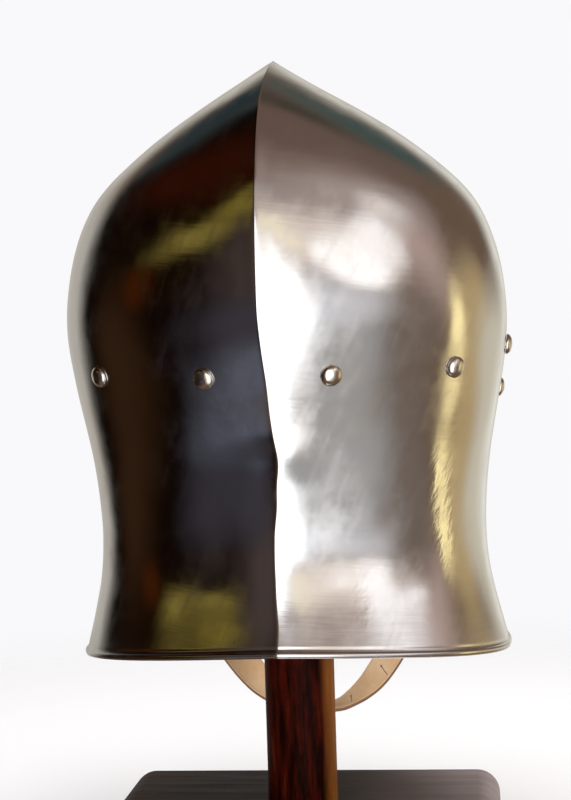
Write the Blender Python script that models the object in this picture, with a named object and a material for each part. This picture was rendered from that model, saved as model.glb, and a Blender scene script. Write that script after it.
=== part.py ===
"""A barbute, the one-piece open helmet of the fifteenth century, on a plain wooden stand.

The skull is one sheet of steel with a keel from front to back, a pointed crown, a waist at the nape
and a flared foot with a turned edge. A row of domed rivets runs round it, a leather chin strap hangs
from its cheeks, and a round post on a rounded board carries it.

Lengths are metres, +Z is up, the face looks along -Y and the wearer's left is +X. The origin is the
middle of the underside of the board.
"""

import math
from typing import NamedTuple

import bmesh
import bpy
from mathutils import Matrix, Vector
from mathutils.bvhtree import BVHTree

MM = 0.001
GAP = 0.3 * MM  # clearance between pieces that touch

# Skull
SHEET = 2.0 * MM  # thickness of the steel
RIM_HEIGHT = 105 * MM  # from the underside of the board to the lower edge at the sides
KEEL_RISE = 1.6 * MM  # how far the keel stands proud of the flanks
KEEL_SPREAD = 16 * MM  # half-width of the foot of the keel
KEEL_FADE = 60 * MM  # half-width of skull from which the keel stands fully proud
COLUMNS = 60  # facets round the skull
ROWS_PER_BAND = 2  # facets between two sections
EDGE_RADIUS = 1.5 * MM  # of the turned edges of the foot and of the face opening
EDGE_SIDES = 8
EDGE_STEP = 10 * MM  # longest straight stretch of the opening's edge

# Rivets
HEAD_RADIUS = 5.0 * MM
HEAD_HEIGHT = 3.0 * MM
SHANK_RADIUS = 1.8 * MM
TAIL_RADIUS = 3.2 * MM
TAIL_HEIGHT = 1.0 * MM
RIVET_SIDES = 12
DOME_RINGS = 3
SEAT = 0.35 * MM  # from the sheet to the underside of a head, at the rivet's axis
TAIL_SEAT = 0.6 * MM  # from the sheet or leather to a tail, which lies in a hollow

# Chin strap
STRAP_WIDTH = 18 * MM
STRAP_THICKNESS = 2.5 * MM
STRAP_CLEARANCE = 0.8 * MM  # between the flat strap and the hollow of the cheek
STRAP_ROWS_PER_SPAN = 3

# Stand
POST_RADIUS = 17.5 * MM
POST_SIDES = 32
POST_DOME_RINGS = 6
BOARD_WIDTH = 198 * MM
BOARD_DEPTH = 156 * MM
BOARD_THICKNESS = 25 * MM
BOARD_ROUNDING = 12 * MM
BOARD_ROUNDING_STEPS = 4


class Section(NamedTuple):
    """One line round the skull, in millimetres. Heights are above the lower edge at the sides."""

    side_z: float
    side_y: float
    half_width: float
    back_z: float
    back_y: float
    front_z: float
    front_y: float
    crease: float  # share of the outline that runs straight into the keel
    fullness: float  # exponent of the outline, higher is squarer


SECTIONS = [
    #       side_z side_y half_width back_z back_y front_z front_y crease fullness
    Section(286.0, 38.0, 0.0, 286.0, 38.0, 286.0, 38.0, 0.97, 2.0),
    Section(279.0, 34.0, 11.0, 281.5, 56.0, 282.5, 12.0, 0.97, 2.0),
    Section(266.0, 26.0, 33.5, 270.0, 82.0, 270.0, -32.0, 0.96, 2.0),
    Section(249.0, 16.0, 60.0, 253.0, 103.0, 250.0, -70.0, 0.95, 2.2),
    Section(224.0, 7.0, 89.5, 227.0, 117.0, 224.0, -98.0, 0.93, 2.5),
    Section(196.0, 0.0, 103.5, 194.0, 123.0, 196.0, -114.0, 0.92, 2.8),
    Section(163.0, 0.0, 108.3, 160.0, 121.0, 163.0, -122.0, 0.90, 2.9),
    Section(130.0, 0.0, 104.5, 128.0, 108.0, 130.0, -124.0, 0.85, 2.9),
    Section(96.0, 0.0, 98.4, 97.0, 94.0, 96.0, -123.0, 0.75, 2.8),
    Section(60.0, 0.0, 95.4, 66.0, 88.0, 60.0, -121.0, 0.65, 2.7),
    Section(32.0, 0.0, 98.0, 40.0, 90.0, 32.0, -119.0, 0.60, 2.6),
    Section(0.0, 0.0, 106.0, 11.0, 101.0, 0.0, -117.0, 0.55, 2.5),
]
LAST = len(SECTIONS) - 1


class Corner(NamedTuple):
    """A corner of one half of the face opening, in millimetres, seen from the front."""

    x: float
    z: float
    radius: float


FACE_CORNERS = [
    #      x      z    radius
    Corner(14.0, -20.0, 0.0),  # below the lower edge
    Corner(11.0, 88.0, 9.0),  # top of the slit between the cheeks
    Corner(62.0, 106.0, 14.0),  # lower outer corner of the eye
    Corner(60.0, 146.0, 15.0),  # upper outer corner of the eye
    Corner(13.0, 149.0, 7.0),  # brow beside the nasal point
    Corner(0.0, 131.0, 0.0),  # nasal point
]
ARC_STEPS = 4


class RivetPlace(NamedTuple):
    """A pair of rivets: degrees round from the back keel, and millimetres above the lower edge."""

    turn: float
    height: float


LINING_RIVETS = [
    #          turn  height
    RivetPlace(25.0, 137.0),
    RivetPlace(53.5, 138.5),
    RivetPlace(90.0, 148.0),
    RivetPlace(124.0, 158.0),
    RivetPlace(155.0, 167.0),
]
STRAP_RIVET = RivetPlace(100.5, 126.5)


class StrapRow(NamedTuple):
    """One point of half of the strap's route, in millimetres from the axis and the lower edge."""

    x: float
    y: float
    z: float
    splay: float  # degrees by which the rear edge swings outward


STRAP_TAB_HEIGHTS = (138.0, 126.5, 116.0)  # where the strap lies against the cheek
STRAP_ROUTE = [
    #        x     y      z      splay
    StrapRow(90.5, -30.0, 92.0, 8.0),
    StrapRow(82.0, -45.0, 62.0, 20.0),
    StrapRow(68.0, -61.0, 30.0, 35.0),
    StrapRow(50.0, -76.0, -5.0, 45.0),
    StrapRow(32.5, -87.0, -33.0, 42.0),
    StrapRow(15.5, -91.0, -47.5, 24.0),
    StrapRow(0.0, -92.0, -52.0, 0.0),  # lowest point
]


# ------------------------------------------------------------------ materials and objects


def clear_scene():
    """Remove every object of the scene."""
    for item in list(bpy.data.objects):
        bpy.data.objects.remove(item, do_unlink=True)


def make_material(name, colour, roughness, metallic=0.0):
    """Return a Principled material of this colour."""
    material = bpy.data.materials.new(name)
    material.use_nodes = True
    shader = material.node_tree.nodes["Principled BSDF"]
    shader.inputs["Base Color"].default_value = (*colour, 1.0)
    shader.inputs["Roughness"].default_value = roughness
    shader.inputs["Metallic"].default_value = metallic
    return material


def add_object(name, mesh, material=None, sharp=40.0):
    """Link a mesh as an object of its own, shaded smooth but for edges sharper than this."""
    item = bpy.data.objects.new(name, mesh)
    bpy.context.scene.collection.objects.link(item)
    mesh.shade_smooth()
    mesh.set_sharp_from_angle(angle=math.radians(sharp))
    if material:
        mesh.materials.append(material)
    return item


def add_cutter(name, mesh):
    """Link a mesh that only shapes another one."""
    item = add_object(name, mesh)
    item.hide_render = True
    item.display_type = "WIRE"
    return item


def mesh_from(bm, name):
    """Turn a bmesh into a mesh and free it."""
    mesh = bpy.data.meshes.new(name)
    bm.to_mesh(mesh)
    bm.free()
    return mesh


def combine(target, operand, operation):
    """Put a Boolean modifier on the target."""
    modifier = target.modifiers.new(operand.name, "BOOLEAN")
    modifier.operation = operation
    modifier.solver = "EXACT"
    modifier.object = operand


# ------------------------------------------------------------------ general shapes


def smooth_row(rows, place):
    """Return the row at a fractional place in a table, on a smooth curve through its rows."""
    index = min(int(place), len(rows) - 2)
    share = place - index
    here, after = rows[index], rows[index + 1]
    before = rows[index - 1] if index else here
    beyond = rows[index + 2] if index + 2 < len(rows) else after
    values = []
    for a, b, c, d in zip(before, here, after, beyond):
        leave = (c - a) / 2 if index else c - b
        arrive = (d - b) / 2 if index + 2 < len(rows) else c - b
        values.append(
            (2 * share**3 - 3 * share**2 + 1) * b
            + (share**3 - 2 * share**2 + share) * leave
            + (3 * share**2 - 2 * share**3) * c
            + (share**3 - share**2) * arrive
        )
    return type(rows[0])(*values)


def add_rings(bm, rings, closed_round=True, closed_along=False):
    """Bridge rings of points with quads and return the rings of vertices."""
    made = [[bm.verts.new(point) for point in ring] for ring in rings]
    pairs = list(zip(made, made[1:]))
    if closed_along:
        pairs.append((made[-1], made[0]))
    count = len(rings[0])
    for ring, following in pairs:
        for i in range(count if closed_round else count - 1):
            j = (i + 1) % count
            bm.faces.new((ring[i], ring[j], following[j], following[i]))
    return made


def turned_mesh(name, profile, sides):
    """Turn a profile of (radius, height) round Z, from its top to its foot, both on the axis."""
    bm = bmesh.new()
    rings = []
    for radius, height in profile[1:-1]:
        angles = [2 * math.pi * i / sides for i in range(sides)]
        rings.append([(radius * math.cos(a), radius * math.sin(a), height) for a in angles])
    made = add_rings(bm, rings)
    top = bm.verts.new((0, 0, profile[0][1]))
    foot = bm.verts.new((0, 0, profile[-1][1]))
    for i in range(sides):
        j = (i + 1) % sides
        bm.faces.new((top, made[0][j], made[0][i]))
        bm.faces.new((foot, made[-1][i], made[-1][j]))
    bmesh.ops.recalc_face_normals(bm, faces=bm.faces)
    return mesh_from(bm, name)


def tube_mesh(name, points, radius, sides, closed):
    """Sweep a round bar along points."""
    curve = bpy.data.curves.new(name, "CURVE")
    curve.dimensions = "3D"
    curve.bevel_depth = radius
    curve.bevel_resolution = sides // 2 - 2
    curve.use_fill_caps = True
    spline = curve.splines.new("POLY")
    spline.points.add(len(points) - 1)
    for point, place in zip(spline.points, points):
        point.co = (*place, 1.0)
    spline.use_cyclic_u = closed
    guide = bpy.data.objects.new(name, curve)
    bm = bmesh.new()
    bm.from_mesh(bpy.data.meshes.new_from_object(guide))
    bpy.data.objects.remove(guide)
    bmesh.ops.remove_doubles(bm, verts=bm.verts, dist=0.001 * MM)
    return mesh_from(bm, name)


def rounded_outline(corners):
    """Return the points of a line through corners, each rounded to its radius."""
    points = []
    for i, corner in enumerate(corners):
        here = Vector((corner.x, corner.z))
        if not corner.radius:
            points.append(here)
            continue
        toward = (Vector((corners[i - 1].x, corners[i - 1].z)) - here).normalized()
        away = (Vector((corners[i + 1].x, corners[i + 1].z)) - here).normalized()
        half = toward.angle(away) / 2
        centre = here + (toward + away).normalized() * corner.radius / math.sin(half)
        start = here + toward * corner.radius / math.tan(half) - centre
        end = here + away * corner.radius / math.tan(half) - centre
        for step in range(ARC_STEPS + 1):
            spoke = start.slerp(end, step / ARC_STEPS).normalized()
            points.append(centre + spoke * corner.radius)
    return points


def divided_line(points, longest):
    """Return the line with points added so that no stretch is longer than this."""
    divided = [points[0]]
    for start, end in zip(points, points[1:]):
        pieces = math.ceil((end - start).length / longest)
        divided.extend(start.lerp(end, i / pieces) for i in range(1, pieces + 1))
    return divided


# ------------------------------------------------------------------ skull


def skull_point(level, turn):
    """Return a point of the skull's outer face.

    The level runs from 0 at the crown to LAST at the lower edge, and the turn is the angle round
    from the back keel, through +X, to the front keel at half a turn.
    """
    section = smooth_row(SECTIONS, level)
    along = abs(math.cos(turn))
    straight = 1 - along**section.fullness
    round_off = math.sqrt(max(0.0, 1 - along**2))
    out = section.crease * straight + (1 - section.crease) * round_off
    x = math.copysign(out * section.half_width, math.sin(turn))
    if math.cos(turn) > 0:
        end_y, end_z = section.back_y, section.back_z
    else:
        end_y, end_z = section.front_y, section.front_z
    y = section.side_y + (end_y - section.side_y) * along
    z = section.side_z + (end_z - section.side_z) * along**2
    near_keel = max(0.0, 1 - abs(x) * MM / KEEL_SPREAD) ** 2
    rise = KEEL_RISE * near_keel * min(1.0, section.half_width * MM / KEEL_FADE)
    return Vector((x * MM, y * MM + math.copysign(rise, math.cos(turn)), RIM_HEIGHT + z * MM))


def skull_normal(level, turn):
    """Return the outward direction of the skull's face."""
    step = 0.02
    across = skull_point(level, turn + step) - skull_point(level, turn - step)
    down = skull_point(level + step, turn) - skull_point(level - step, turn)
    return across.cross(down).normalized()


def level_at(turn, height):
    """Return the level at which this turn of the skull is this high above the lower edge."""
    high, low = 1.0, float(LAST)
    for _ in range(30):
        middle = (high + low) / 2
        if skull_point(middle, turn).z - RIM_HEIGHT > height:
            high = middle
        else:
            low = middle
    return (high + low) / 2


def shell_bmesh():
    """Build the skull's outer face, still without thickness or openings."""
    bm = bmesh.new()
    turns = [2 * math.pi * i / COLUMNS for i in range(COLUMNS)]
    count = LAST * ROWS_PER_BAND
    levels = [(i + 1) / ROWS_PER_BAND for i in range(count)]
    rings = [[skull_point(level, turn) for turn in turns] for level in levels]
    made = add_rings(bm, rings)
    crown = bm.verts.new(skull_point(0.0, 0.0))
    for i in range(COLUMNS):
        bm.faces.new((crown, made[0][(i + 1) % COLUMNS], made[0][i]))
    bm.normal_update()
    if made[0][0].normal.z < 0:
        bmesh.ops.reverse_faces(bm, faces=bm.faces)
    return bm


def face_outline():
    """Return the whole outline of the face opening as (x, z), from foot to foot, in metres."""
    half = rounded_outline(FACE_CORNERS)
    other = [Vector((-point.x, point.y)) for point in half[-2::-1]]
    return [Vector((point.x * MM, RIM_HEIGHT + point.y * MM)) for point in half + other]


def face_cutter_mesh(outline):
    """Extrude the outline of the face opening from in front of the skull to inside it."""
    bm = bmesh.new()
    near, far = -180 * MM, -40 * MM
    rings = [[(point.x, y, point.y) for point in outline] for y in (near, far)]
    made = add_rings(bm, rings)
    bm.faces.new(made[0])
    bm.faces.new(made[1])
    bmesh.ops.recalc_face_normals(bm, faces=bm.faces)
    return mesh_from(bm, "face_cutter")


def face_edge_points(outline, tree):
    """Lay the outline of the face opening on the middle of the sheet at the front."""
    foot = RIM_HEIGHT + EDGE_RADIUS
    above = [point for point in outline if point.y > foot]
    ends = [Vector((outline[0].x, foot)), Vector((outline[-1].x, foot))]
    points = []
    for point in divided_line([ends[0], *above, ends[1]], EDGE_STEP):
        start = Vector((point.x, -0.5, point.y))
        place, normal, _, _ = tree.ray_cast(start, Vector((0, 1, 0)))
        points.append(place - normal * SHEET / 2)
    return points


def seat_on(tree, turn, height):
    """Return the spot on the faceted sheet at this turn and height, and its outward direction."""
    level = level_at(turn, height * MM)
    spot = tree.find_nearest(skull_point(level, turn))[0]
    return spot, skull_normal(level, turn)


def rivet_frame(tree, place, side):
    """Return the matrix that puts a rivet on the skull, its axis pointing out."""
    spot, normal = seat_on(tree, side * math.radians(place.turn), place.height)
    return Matrix.Translation(spot) @ normal.to_track_quat("Z", "Y").to_matrix().to_4x4()


def drill_mesh(name, frames, middle, depth):
    """Join one drill for each rivet, whose middle lies this far in from the sheet's face."""
    bm = bmesh.new()
    for frame in frames:
        bmesh.ops.create_cone(
            bm,
            cap_ends=True,
            segments=RIVET_SIDES,
            radius1=SHANK_RADIUS + GAP,
            radius2=SHANK_RADIUS + GAP,
            depth=depth,
            matrix=frame @ Matrix.Translation((0, 0, -middle)),
        )
    return mesh_from(bm, name)


def build_skull(material, shell, tree, frames):
    """Make the skull: a sheet with turned edges, the face opening and the rivet holes."""
    outline = face_outline()
    edge_points = face_edge_points(outline, tree)
    skull = add_object("skull", mesh_from(shell, "skull"), material)
    solidify = skull.modifiers.new("sheet", "SOLIDIFY")
    solidify.thickness = SHEET
    solidify.offset = -1.0

    foot = []
    for i in range(COLUMNS):
        turn = 2 * math.pi * i / COLUMNS
        inward = skull_normal(LAST - 0.05, turn) * -SHEET / 2
        foot.append(skull_point(LAST, turn) + inward + Vector((0, 0, EDGE_RADIUS)))
    foot_edge = tube_mesh("foot_edge", foot, EDGE_RADIUS, EDGE_SIDES, closed=True)
    combine(skull, add_cutter("foot_edge", foot_edge), "UNION")
    combine(skull, add_cutter("face_cutter", face_cutter_mesh(outline)), "DIFFERENCE")
    face_edge = tube_mesh("face_edge", edge_points, EDGE_RADIUS, EDGE_SIDES, closed=False)
    combine(skull, add_cutter("face_edge", face_edge), "UNION")
    drills = drill_mesh("rivet_drills", frames, SHEET / 2, 4 * SHEET)
    combine(skull, add_cutter("rivet_drills", drills), "DIFFERENCE")


# ------------------------------------------------------------------ rivets


def rivet_profile(grip):
    """Return the profile of a rivet through this much metal and leather, from head to tail."""
    profile = [(0.0, SEAT + HEAD_HEIGHT)]
    for i in range(1, DOME_RINGS + 1):
        angle = math.pi / 2 * i / DOME_RINGS
        profile.append((HEAD_RADIUS * math.sin(angle), SEAT + HEAD_HEIGHT * math.cos(angle)))
    seat = -grip - TAIL_SEAT
    profile.append((SHANK_RADIUS, SEAT))
    profile.append((SHANK_RADIUS, seat))
    profile.append((TAIL_RADIUS, seat))
    profile.append((TAIL_RADIUS * 0.8, seat - TAIL_HEIGHT))
    profile.append((0.0, seat - TAIL_HEIGHT))
    return profile


def build_rivet(name, frame, grip, material):
    """Set one rivet through the sheet."""
    mesh = turned_mesh(name, rivet_profile(grip), RIVET_SIDES)
    rivet = add_object(name, mesh, material)
    rivet.matrix_world = frame


# ------------------------------------------------------------------ chin strap


def tab_row(tree, height):
    """Return the row of the strap's route that lies against the cheek at this height."""
    spot, normal = seat_on(tree, math.radians(STRAP_RIVET.turn), height)
    inset = SHEET + STRAP_CLEARANCE + STRAP_THICKNESS / 2
    point = (spot - normal * inset) / MM
    splay = math.degrees(math.atan2(-normal.y, normal.x))
    return StrapRow(point.x, point.y, point.z - RIM_HEIGHT / MM, splay)


def strap_centre_line(tree):
    """Return the strap's points and width directions from one cheek to the other."""
    rows = [tab_row(tree, height) for height in STRAP_TAB_HEIGHTS] + STRAP_ROUTE
    half = []
    for i in range((len(rows) - 1) * STRAP_ROWS_PER_SPAN + 1):
        row = smooth_row(rows, i / STRAP_ROWS_PER_SPAN)
        splay = math.radians(row.splay)
        point = Vector((row.x * MM, row.y * MM, RIM_HEIGHT + row.z * MM))
        half.append((point, Vector((math.sin(splay), math.cos(splay), 0))))
    flip = Vector((-1, 1, 1))
    other = [(point * flip, width * flip) for point, width in half[-2::-1]]
    return half + other


def build_strap(material, tree, frames):
    """Make the chin strap: one flat band from cheek to cheek, with a hole at each rivet."""
    line = strap_centre_line(tree)
    rings = []
    for i, (point, width) in enumerate(line):
        before = line[max(i - 1, 0)][0]
        after = line[min(i + 1, len(line) - 1)][0]
        tangent = (after - before).normalized()
        across = (width - tangent * width.dot(tangent)).normalized() * STRAP_WIDTH / 2
        up = tangent.cross(across).normalized() * STRAP_THICKNESS / 2
        rings.append([point - across - up, point + across - up, point + across + up, point - across + up])
    bm = bmesh.new()
    made = add_rings(bm, rings)
    bm.faces.new(made[0])
    bm.faces.new(made[-1])
    bmesh.ops.recalc_face_normals(bm, faces=bm.faces)
    strap = add_object("chin_strap", mesh_from(bm, "chin_strap"), material)
    middle = SHEET + STRAP_CLEARANCE + STRAP_THICKNESS / 2
    drills = drill_mesh("strap_drills", frames, middle, 3 * STRAP_THICKNESS)
    combine(strap, add_cutter("strap_drills", drills), "DIFFERENCE")


# ------------------------------------------------------------------ stand


def post_top(tree):
    """Return how high the post's domed head reaches before it meets the inside of the crown."""
    reach = POST_RADIUS + SHEET + GAP
    low, high = RIM_HEIGHT, RIM_HEIGHT + SECTIONS[0].side_z * MM
    for _ in range(30):
        middle = (low + high) / 2
        if tree.find_nearest(Vector((0, 0, middle)))[3] > reach:
            low = middle
        else:
            high = middle
    return low + POST_RADIUS


def build_post(material, top):
    """Turn the round post, whose domed head carries the crown."""
    profile = [(0.0, top)]
    for i in range(1, POST_DOME_RINGS + 1):
        angle = math.pi / 2 * i / POST_DOME_RINGS
        profile.append((POST_RADIUS * math.sin(angle), top - POST_RADIUS * (1 - math.cos(angle))))
    foot = BOARD_THICKNESS + GAP
    profile.append((POST_RADIUS, foot))
    profile.append((0.0, foot))
    add_object("stand_post", turned_mesh("stand_post", profile, POST_SIDES), material)


def build_board(material):
    """Make the board with its rounded upper edges."""
    bm = bmesh.new()
    size = Matrix.Diagonal((BOARD_WIDTH, BOARD_DEPTH, BOARD_THICKNESS, 1.0))
    bmesh.ops.create_cube(bm, size=1.0, matrix=Matrix.Translation((0, 0, BOARD_THICKNESS / 2)) @ size)
    rounded = [e for e in bm.edges if any(v.co.z > BOARD_THICKNESS / 2 for v in e.verts)]
    bmesh.ops.bevel(
        bm,
        geom=rounded,
        offset=BOARD_ROUNDING,
        segments=BOARD_ROUNDING_STEPS,
        profile=0.5,
        affect="EDGES",
    )
    add_object("stand_base", mesh_from(bm, "stand_base"), material)


def main():
    """Build the whole barbute and its stand."""
    clear_scene()
    steel = make_material("steel", (0.56, 0.55, 0.53), 0.22, metallic=1.0)
    rivet_steel = make_material("rivet_steel", (0.50, 0.47, 0.43), 0.28, metallic=1.0)
    leather = make_material("leather", (0.66, 0.45, 0.29), 0.6)
    wood = make_material("stained_wood", (0.10, 0.03, 0.015), 0.3)

    shell = shell_bmesh()
    tree = BVHTree.FromBMesh(shell)
    lining_frames = {}
    for number, place in enumerate(LINING_RIVETS, start=1):
        lining_frames[f"lining_rivet_left_{number}"] = rivet_frame(tree, place, 1)
        lining_frames[f"lining_rivet_right_{number}"] = rivet_frame(tree, place, -1)
    strap_frames = {
        "strap_rivet_left": rivet_frame(tree, STRAP_RIVET, 1),
        "strap_rivet_right": rivet_frame(tree, STRAP_RIVET, -1),
    }

    build_skull(steel, shell, tree, [*lining_frames.values(), *strap_frames.values()])
    for name, frame in lining_frames.items():
        build_rivet(name, frame, SHEET, rivet_steel)
    for name, frame in strap_frames.items():
        build_rivet(name, frame, SHEET + STRAP_CLEARANCE + STRAP_THICKNESS, rivet_steel)
    build_strap(leather, tree, strap_frames.values())
    build_post(wood, post_top(tree))
    build_board(wood)


main()
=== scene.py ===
"""Looks of a barbute, the one-piece open helmet of the fifteenth century, on a plain wooden stand.

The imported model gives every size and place. This file lays a finely modelled skull, rivets, chin
strap and stand over it, gives each its finish, and lights them in a plain soft studio.

Lengths are metres, +Z is up, the face looks along -Y and the wearer's left is +X.
"""

import logging
import math
from dataclasses import dataclass, field
from enum import Enum
from typing import Any, NamedTuple, Optional, Sequence

import bmesh
import bpy
import numpy as np
from mathutils import Matrix, Vector, noise
from mathutils.bvhtree import BVHTree


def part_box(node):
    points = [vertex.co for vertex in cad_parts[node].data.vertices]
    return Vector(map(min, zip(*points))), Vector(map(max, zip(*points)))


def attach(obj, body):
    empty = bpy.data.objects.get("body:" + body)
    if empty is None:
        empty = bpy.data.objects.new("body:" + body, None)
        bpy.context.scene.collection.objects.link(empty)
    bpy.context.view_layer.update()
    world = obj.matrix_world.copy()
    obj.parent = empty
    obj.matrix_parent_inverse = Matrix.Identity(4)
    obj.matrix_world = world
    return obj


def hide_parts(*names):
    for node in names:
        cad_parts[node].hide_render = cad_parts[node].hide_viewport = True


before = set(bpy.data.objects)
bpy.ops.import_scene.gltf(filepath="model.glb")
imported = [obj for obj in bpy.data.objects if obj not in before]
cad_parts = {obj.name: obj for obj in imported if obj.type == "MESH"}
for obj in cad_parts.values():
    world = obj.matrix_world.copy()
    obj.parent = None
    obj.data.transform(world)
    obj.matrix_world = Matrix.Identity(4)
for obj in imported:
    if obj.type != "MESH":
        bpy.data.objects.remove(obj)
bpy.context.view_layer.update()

MM = 0.001
LOG = logging.getLogger("barbute")

Colour = tuple[float, float, float]
Profile = list[tuple[float, float]]
Route = list[tuple[Vector, Vector]]
Socket = bpy.types.NodeSocket


def tone(red: float, green: float, blue: float) -> Colour:
    """Return the linear colour of a tone given as it looks on a screen.

    Args:
        red: Red from 0 to 255.
        green: Green from 0 to 255.
        blue: Blue from 0 to 255.

    Returns:
        The three linear values.
    """
    values = []
    for part in (red, green, blue):
        share = part / 255
        values.append(share / 12.92 if share <= 0.04045 else ((share + 0.055) / 1.055) ** 2.4)
    return (values[0], values[1], values[2])


# ------------------------------------------------------------------ node trees


class Sum(Enum):
    """Sums that a node does on numbers."""

    ADD = "ADD"
    SUBTRACT = "SUBTRACT"
    MULTIPLY = "MULTIPLY"
    DIVIDE = "DIVIDE"
    POWER = "POWER"
    ROOT = "SQRT"
    SIZE = "ABSOLUTE"
    LARGER = "MAXIMUM"
    WRAP = "WRAP"
    ARC_SINE = "ARCSINE"
    ARC_TANGENT = "ARCTAN2"


class PlaceSum(Enum):
    """Sums that a node does on places."""

    SUBTRACT = "SUBTRACT"
    MULTIPLY = "MULTIPLY"
    DIVIDE = "DIVIDE"
    MULTIPLY_ADD = "MULTIPLY_ADD"
    LENGTH = "LENGTH"
    DISTANCE = "DISTANCE"


class Texture(NamedTuple):
    """A soft noise laid over a piece."""

    scale: Colour  # repeats per metre along each axis
    detail: float  # number of finer layers
    rough: float  # share of each finer layer
    turn: Colour = (0.0, 0.0, 0.0)  # degrees about each axis


def even(value: float) -> Colour:
    """Return the same value for each axis."""
    return (value, value, value)


def in_metres(row: Colour) -> Colour:
    """Return a place or size that is given in millimetres."""
    return (row[0] * MM, row[1] * MM, row[2] * MM)


class Tree:
    """Short calls that add nodes to one tree and join them."""

    def __init__(self, tree: bpy.types.NodeTree) -> None:
        """Take a tree and empty it.

        Args:
            tree: The node tree to fill.
        """
        self.tree = tree
        tree.nodes.clear()

    def add(self, kind: str, **settings: Any) -> bpy.types.Node:
        """Add a node.

        Args:
            kind: The node's type.
            settings: Properties of the node.

        Returns:
            The node.
        """
        node = self.tree.nodes.new(kind)
        for name, value in settings.items():
            setattr(node, name, value)
        return node

    def feed(self, socket: Socket, value: Any) -> None:
        """Join a socket to another, or set its number or colour.

        Args:
            socket: The input socket.
            value: An output socket, a number, or a tuple of numbers.
        """
        if isinstance(value, bpy.types.NodeSocket):
            self.tree.links.new(value, socket)
        elif isinstance(value, tuple) and socket.type == "RGBA":
            socket.default_value = (*value, 1.0)
        else:
            socket.default_value = value

    def object_place(self) -> Socket:
        """Return the place on the piece, in metres."""
        return self.add("ShaderNodeTexCoord").outputs["Object"]

    def axes(self, place: Socket) -> tuple[Socket, Socket, Socket]:
        """Return the x, y and z of a place.

        Args:
            place: The place.

        Returns:
            Its three numbers.
        """
        node = self.add("ShaderNodeSeparateXYZ")
        self.feed(node.inputs["Vector"], place)
        return node.outputs["X"], node.outputs["Y"], node.outputs["Z"]

    def places(self, operation: PlaceSum, *values: Any) -> bpy.types.Node:
        """Add a node that does a sum on places.

        Args:
            operation: The sum.
            values: The places, as sockets or as tuples.

        Returns:
            The node, whose output is Vector, or Value where the result is a length.
        """
        node = self.add("ShaderNodeVectorMath", operation=operation.value)
        for socket, value in zip(node.inputs, values):
            self.feed(socket, value)
        return node

    def stretched(self, place: Socket, scale: Colour, turn: Colour = (0.0, 0.0, 0.0)) -> Socket:
        """Turn and stretch a place.

        Args:
            place: The place.
            scale: Repeats per metre along each axis.
            turn: Degrees about each axis.

        Returns:
            The stretched place.
        """
        if any(turn):
            turned = self.add("ShaderNodeVectorRotate", rotation_type="EULER_XYZ")
            self.feed(turned.inputs["Vector"], place)
            turned.inputs["Rotation"].default_value = [math.radians(angle) for angle in turn]
            place = turned.outputs["Vector"]
        return self.places(PlaceSum.MULTIPLY, place, scale).outputs["Vector"]

    def cloud(self, place: Socket, texture: Texture) -> Socket:
        """Return a soft noise from 0 to 1.

        Args:
            place: The place.
            texture: Its repeats and grain.

        Returns:
            The noise.
        """
        node = self.add("ShaderNodeTexNoise")
        self.feed(node.inputs["Vector"], self.stretched(place, texture.scale, texture.turn))
        node.inputs["Scale"].default_value = 1.0
        node.inputs["Detail"].default_value = texture.detail
        node.inputs["Roughness"].default_value = texture.rough
        return node.outputs["Fac"]

    def cells(self, place: Socket, scale: float) -> Socket:
        """Return the distance to the middle of the nearest cell.

        Args:
            place: The place.
            scale: Cells per metre.

        Returns:
            The distance, in cells.
        """
        node = self.add("ShaderNodeTexVoronoi", feature="F1")
        self.feed(node.inputs["Vector"], place)
        node.inputs["Scale"].default_value = scale
        return node.outputs["Distance"]

    def spread(
        self, value: Socket, low: float, high: float, start: float = 0.0, end: float = 1.0
    ) -> Socket:
        """Map a value to another range, softly at both ends.

        Args:
            value: The value.
            low: The value that gives start.
            high: The value that gives end.
            start: The result at and below low.
            end: The result at and above high.

        Returns:
            The mapped value.
        """
        node = self.add("ShaderNodeMapRange", interpolation_type="SMOOTHSTEP")
        self.feed(node.inputs["Value"], value)
        for name, number in zip(("From Min", "From Max", "To Min", "To Max"), (low, high, start, end)):
            node.inputs[name].default_value = number
        return node.outputs["Result"]

    def maths(self, operation: Sum, *values: Any) -> Socket:
        """Return the result of a sum on numbers or sockets.

        Args:
            operation: The sum.
            values: Its numbers or sockets.

        Returns:
            The result.
        """
        node = self.add("ShaderNodeMath", operation=operation.value)
        for socket, value in zip(node.inputs, values):
            self.feed(socket, value)
        return node.outputs["Value"]

    def plus(self, first: Any, second: Any) -> Socket:
        """Return one value and another."""
        return self.maths(Sum.ADD, first, second)

    def less(self, first: Any, second: Any) -> Socket:
        """Return one value less another."""
        return self.maths(Sum.SUBTRACT, first, second)

    def times(self, first: Any, second: Any) -> Socket:
        """Return one value times another."""
        return self.maths(Sum.MULTIPLY, first, second)

    def layer(self, share: Any, under: Any, over: Any) -> Socket:
        """Lay one colour over another.

        Args:
            share: How much of the upper colour shows.
            under: The lower colour.
            over: The upper colour.

        Returns:
            The mixed colour.
        """
        node = self.add("ShaderNodeMix", data_type="RGBA")
        self.feed(node.inputs["Factor"], share)
        self.feed(node.inputs[6], under)
        self.feed(node.inputs[7], over)
        return node.outputs[2]

    def relief(self, height: Socket, depth: float, under: Optional[Socket] = None) -> Socket:
        """Return the normal of a surface with a fine relief.

        Args:
            height: The relief, from 0 to 1.
            depth: Its full depth in metres.
            under: A relief below this one.

        Returns:
            The normal.
        """
        node = self.add("ShaderNodeBump")
        node.inputs["Strength"].default_value = 1.0
        node.inputs["Distance"].default_value = depth
        self.feed(node.inputs["Height"], height)
        if under is not None:
            self.feed(node.inputs["Normal"], under)
        return node.outputs["Normal"]


# ------------------------------------------------------------------ finishes


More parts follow.
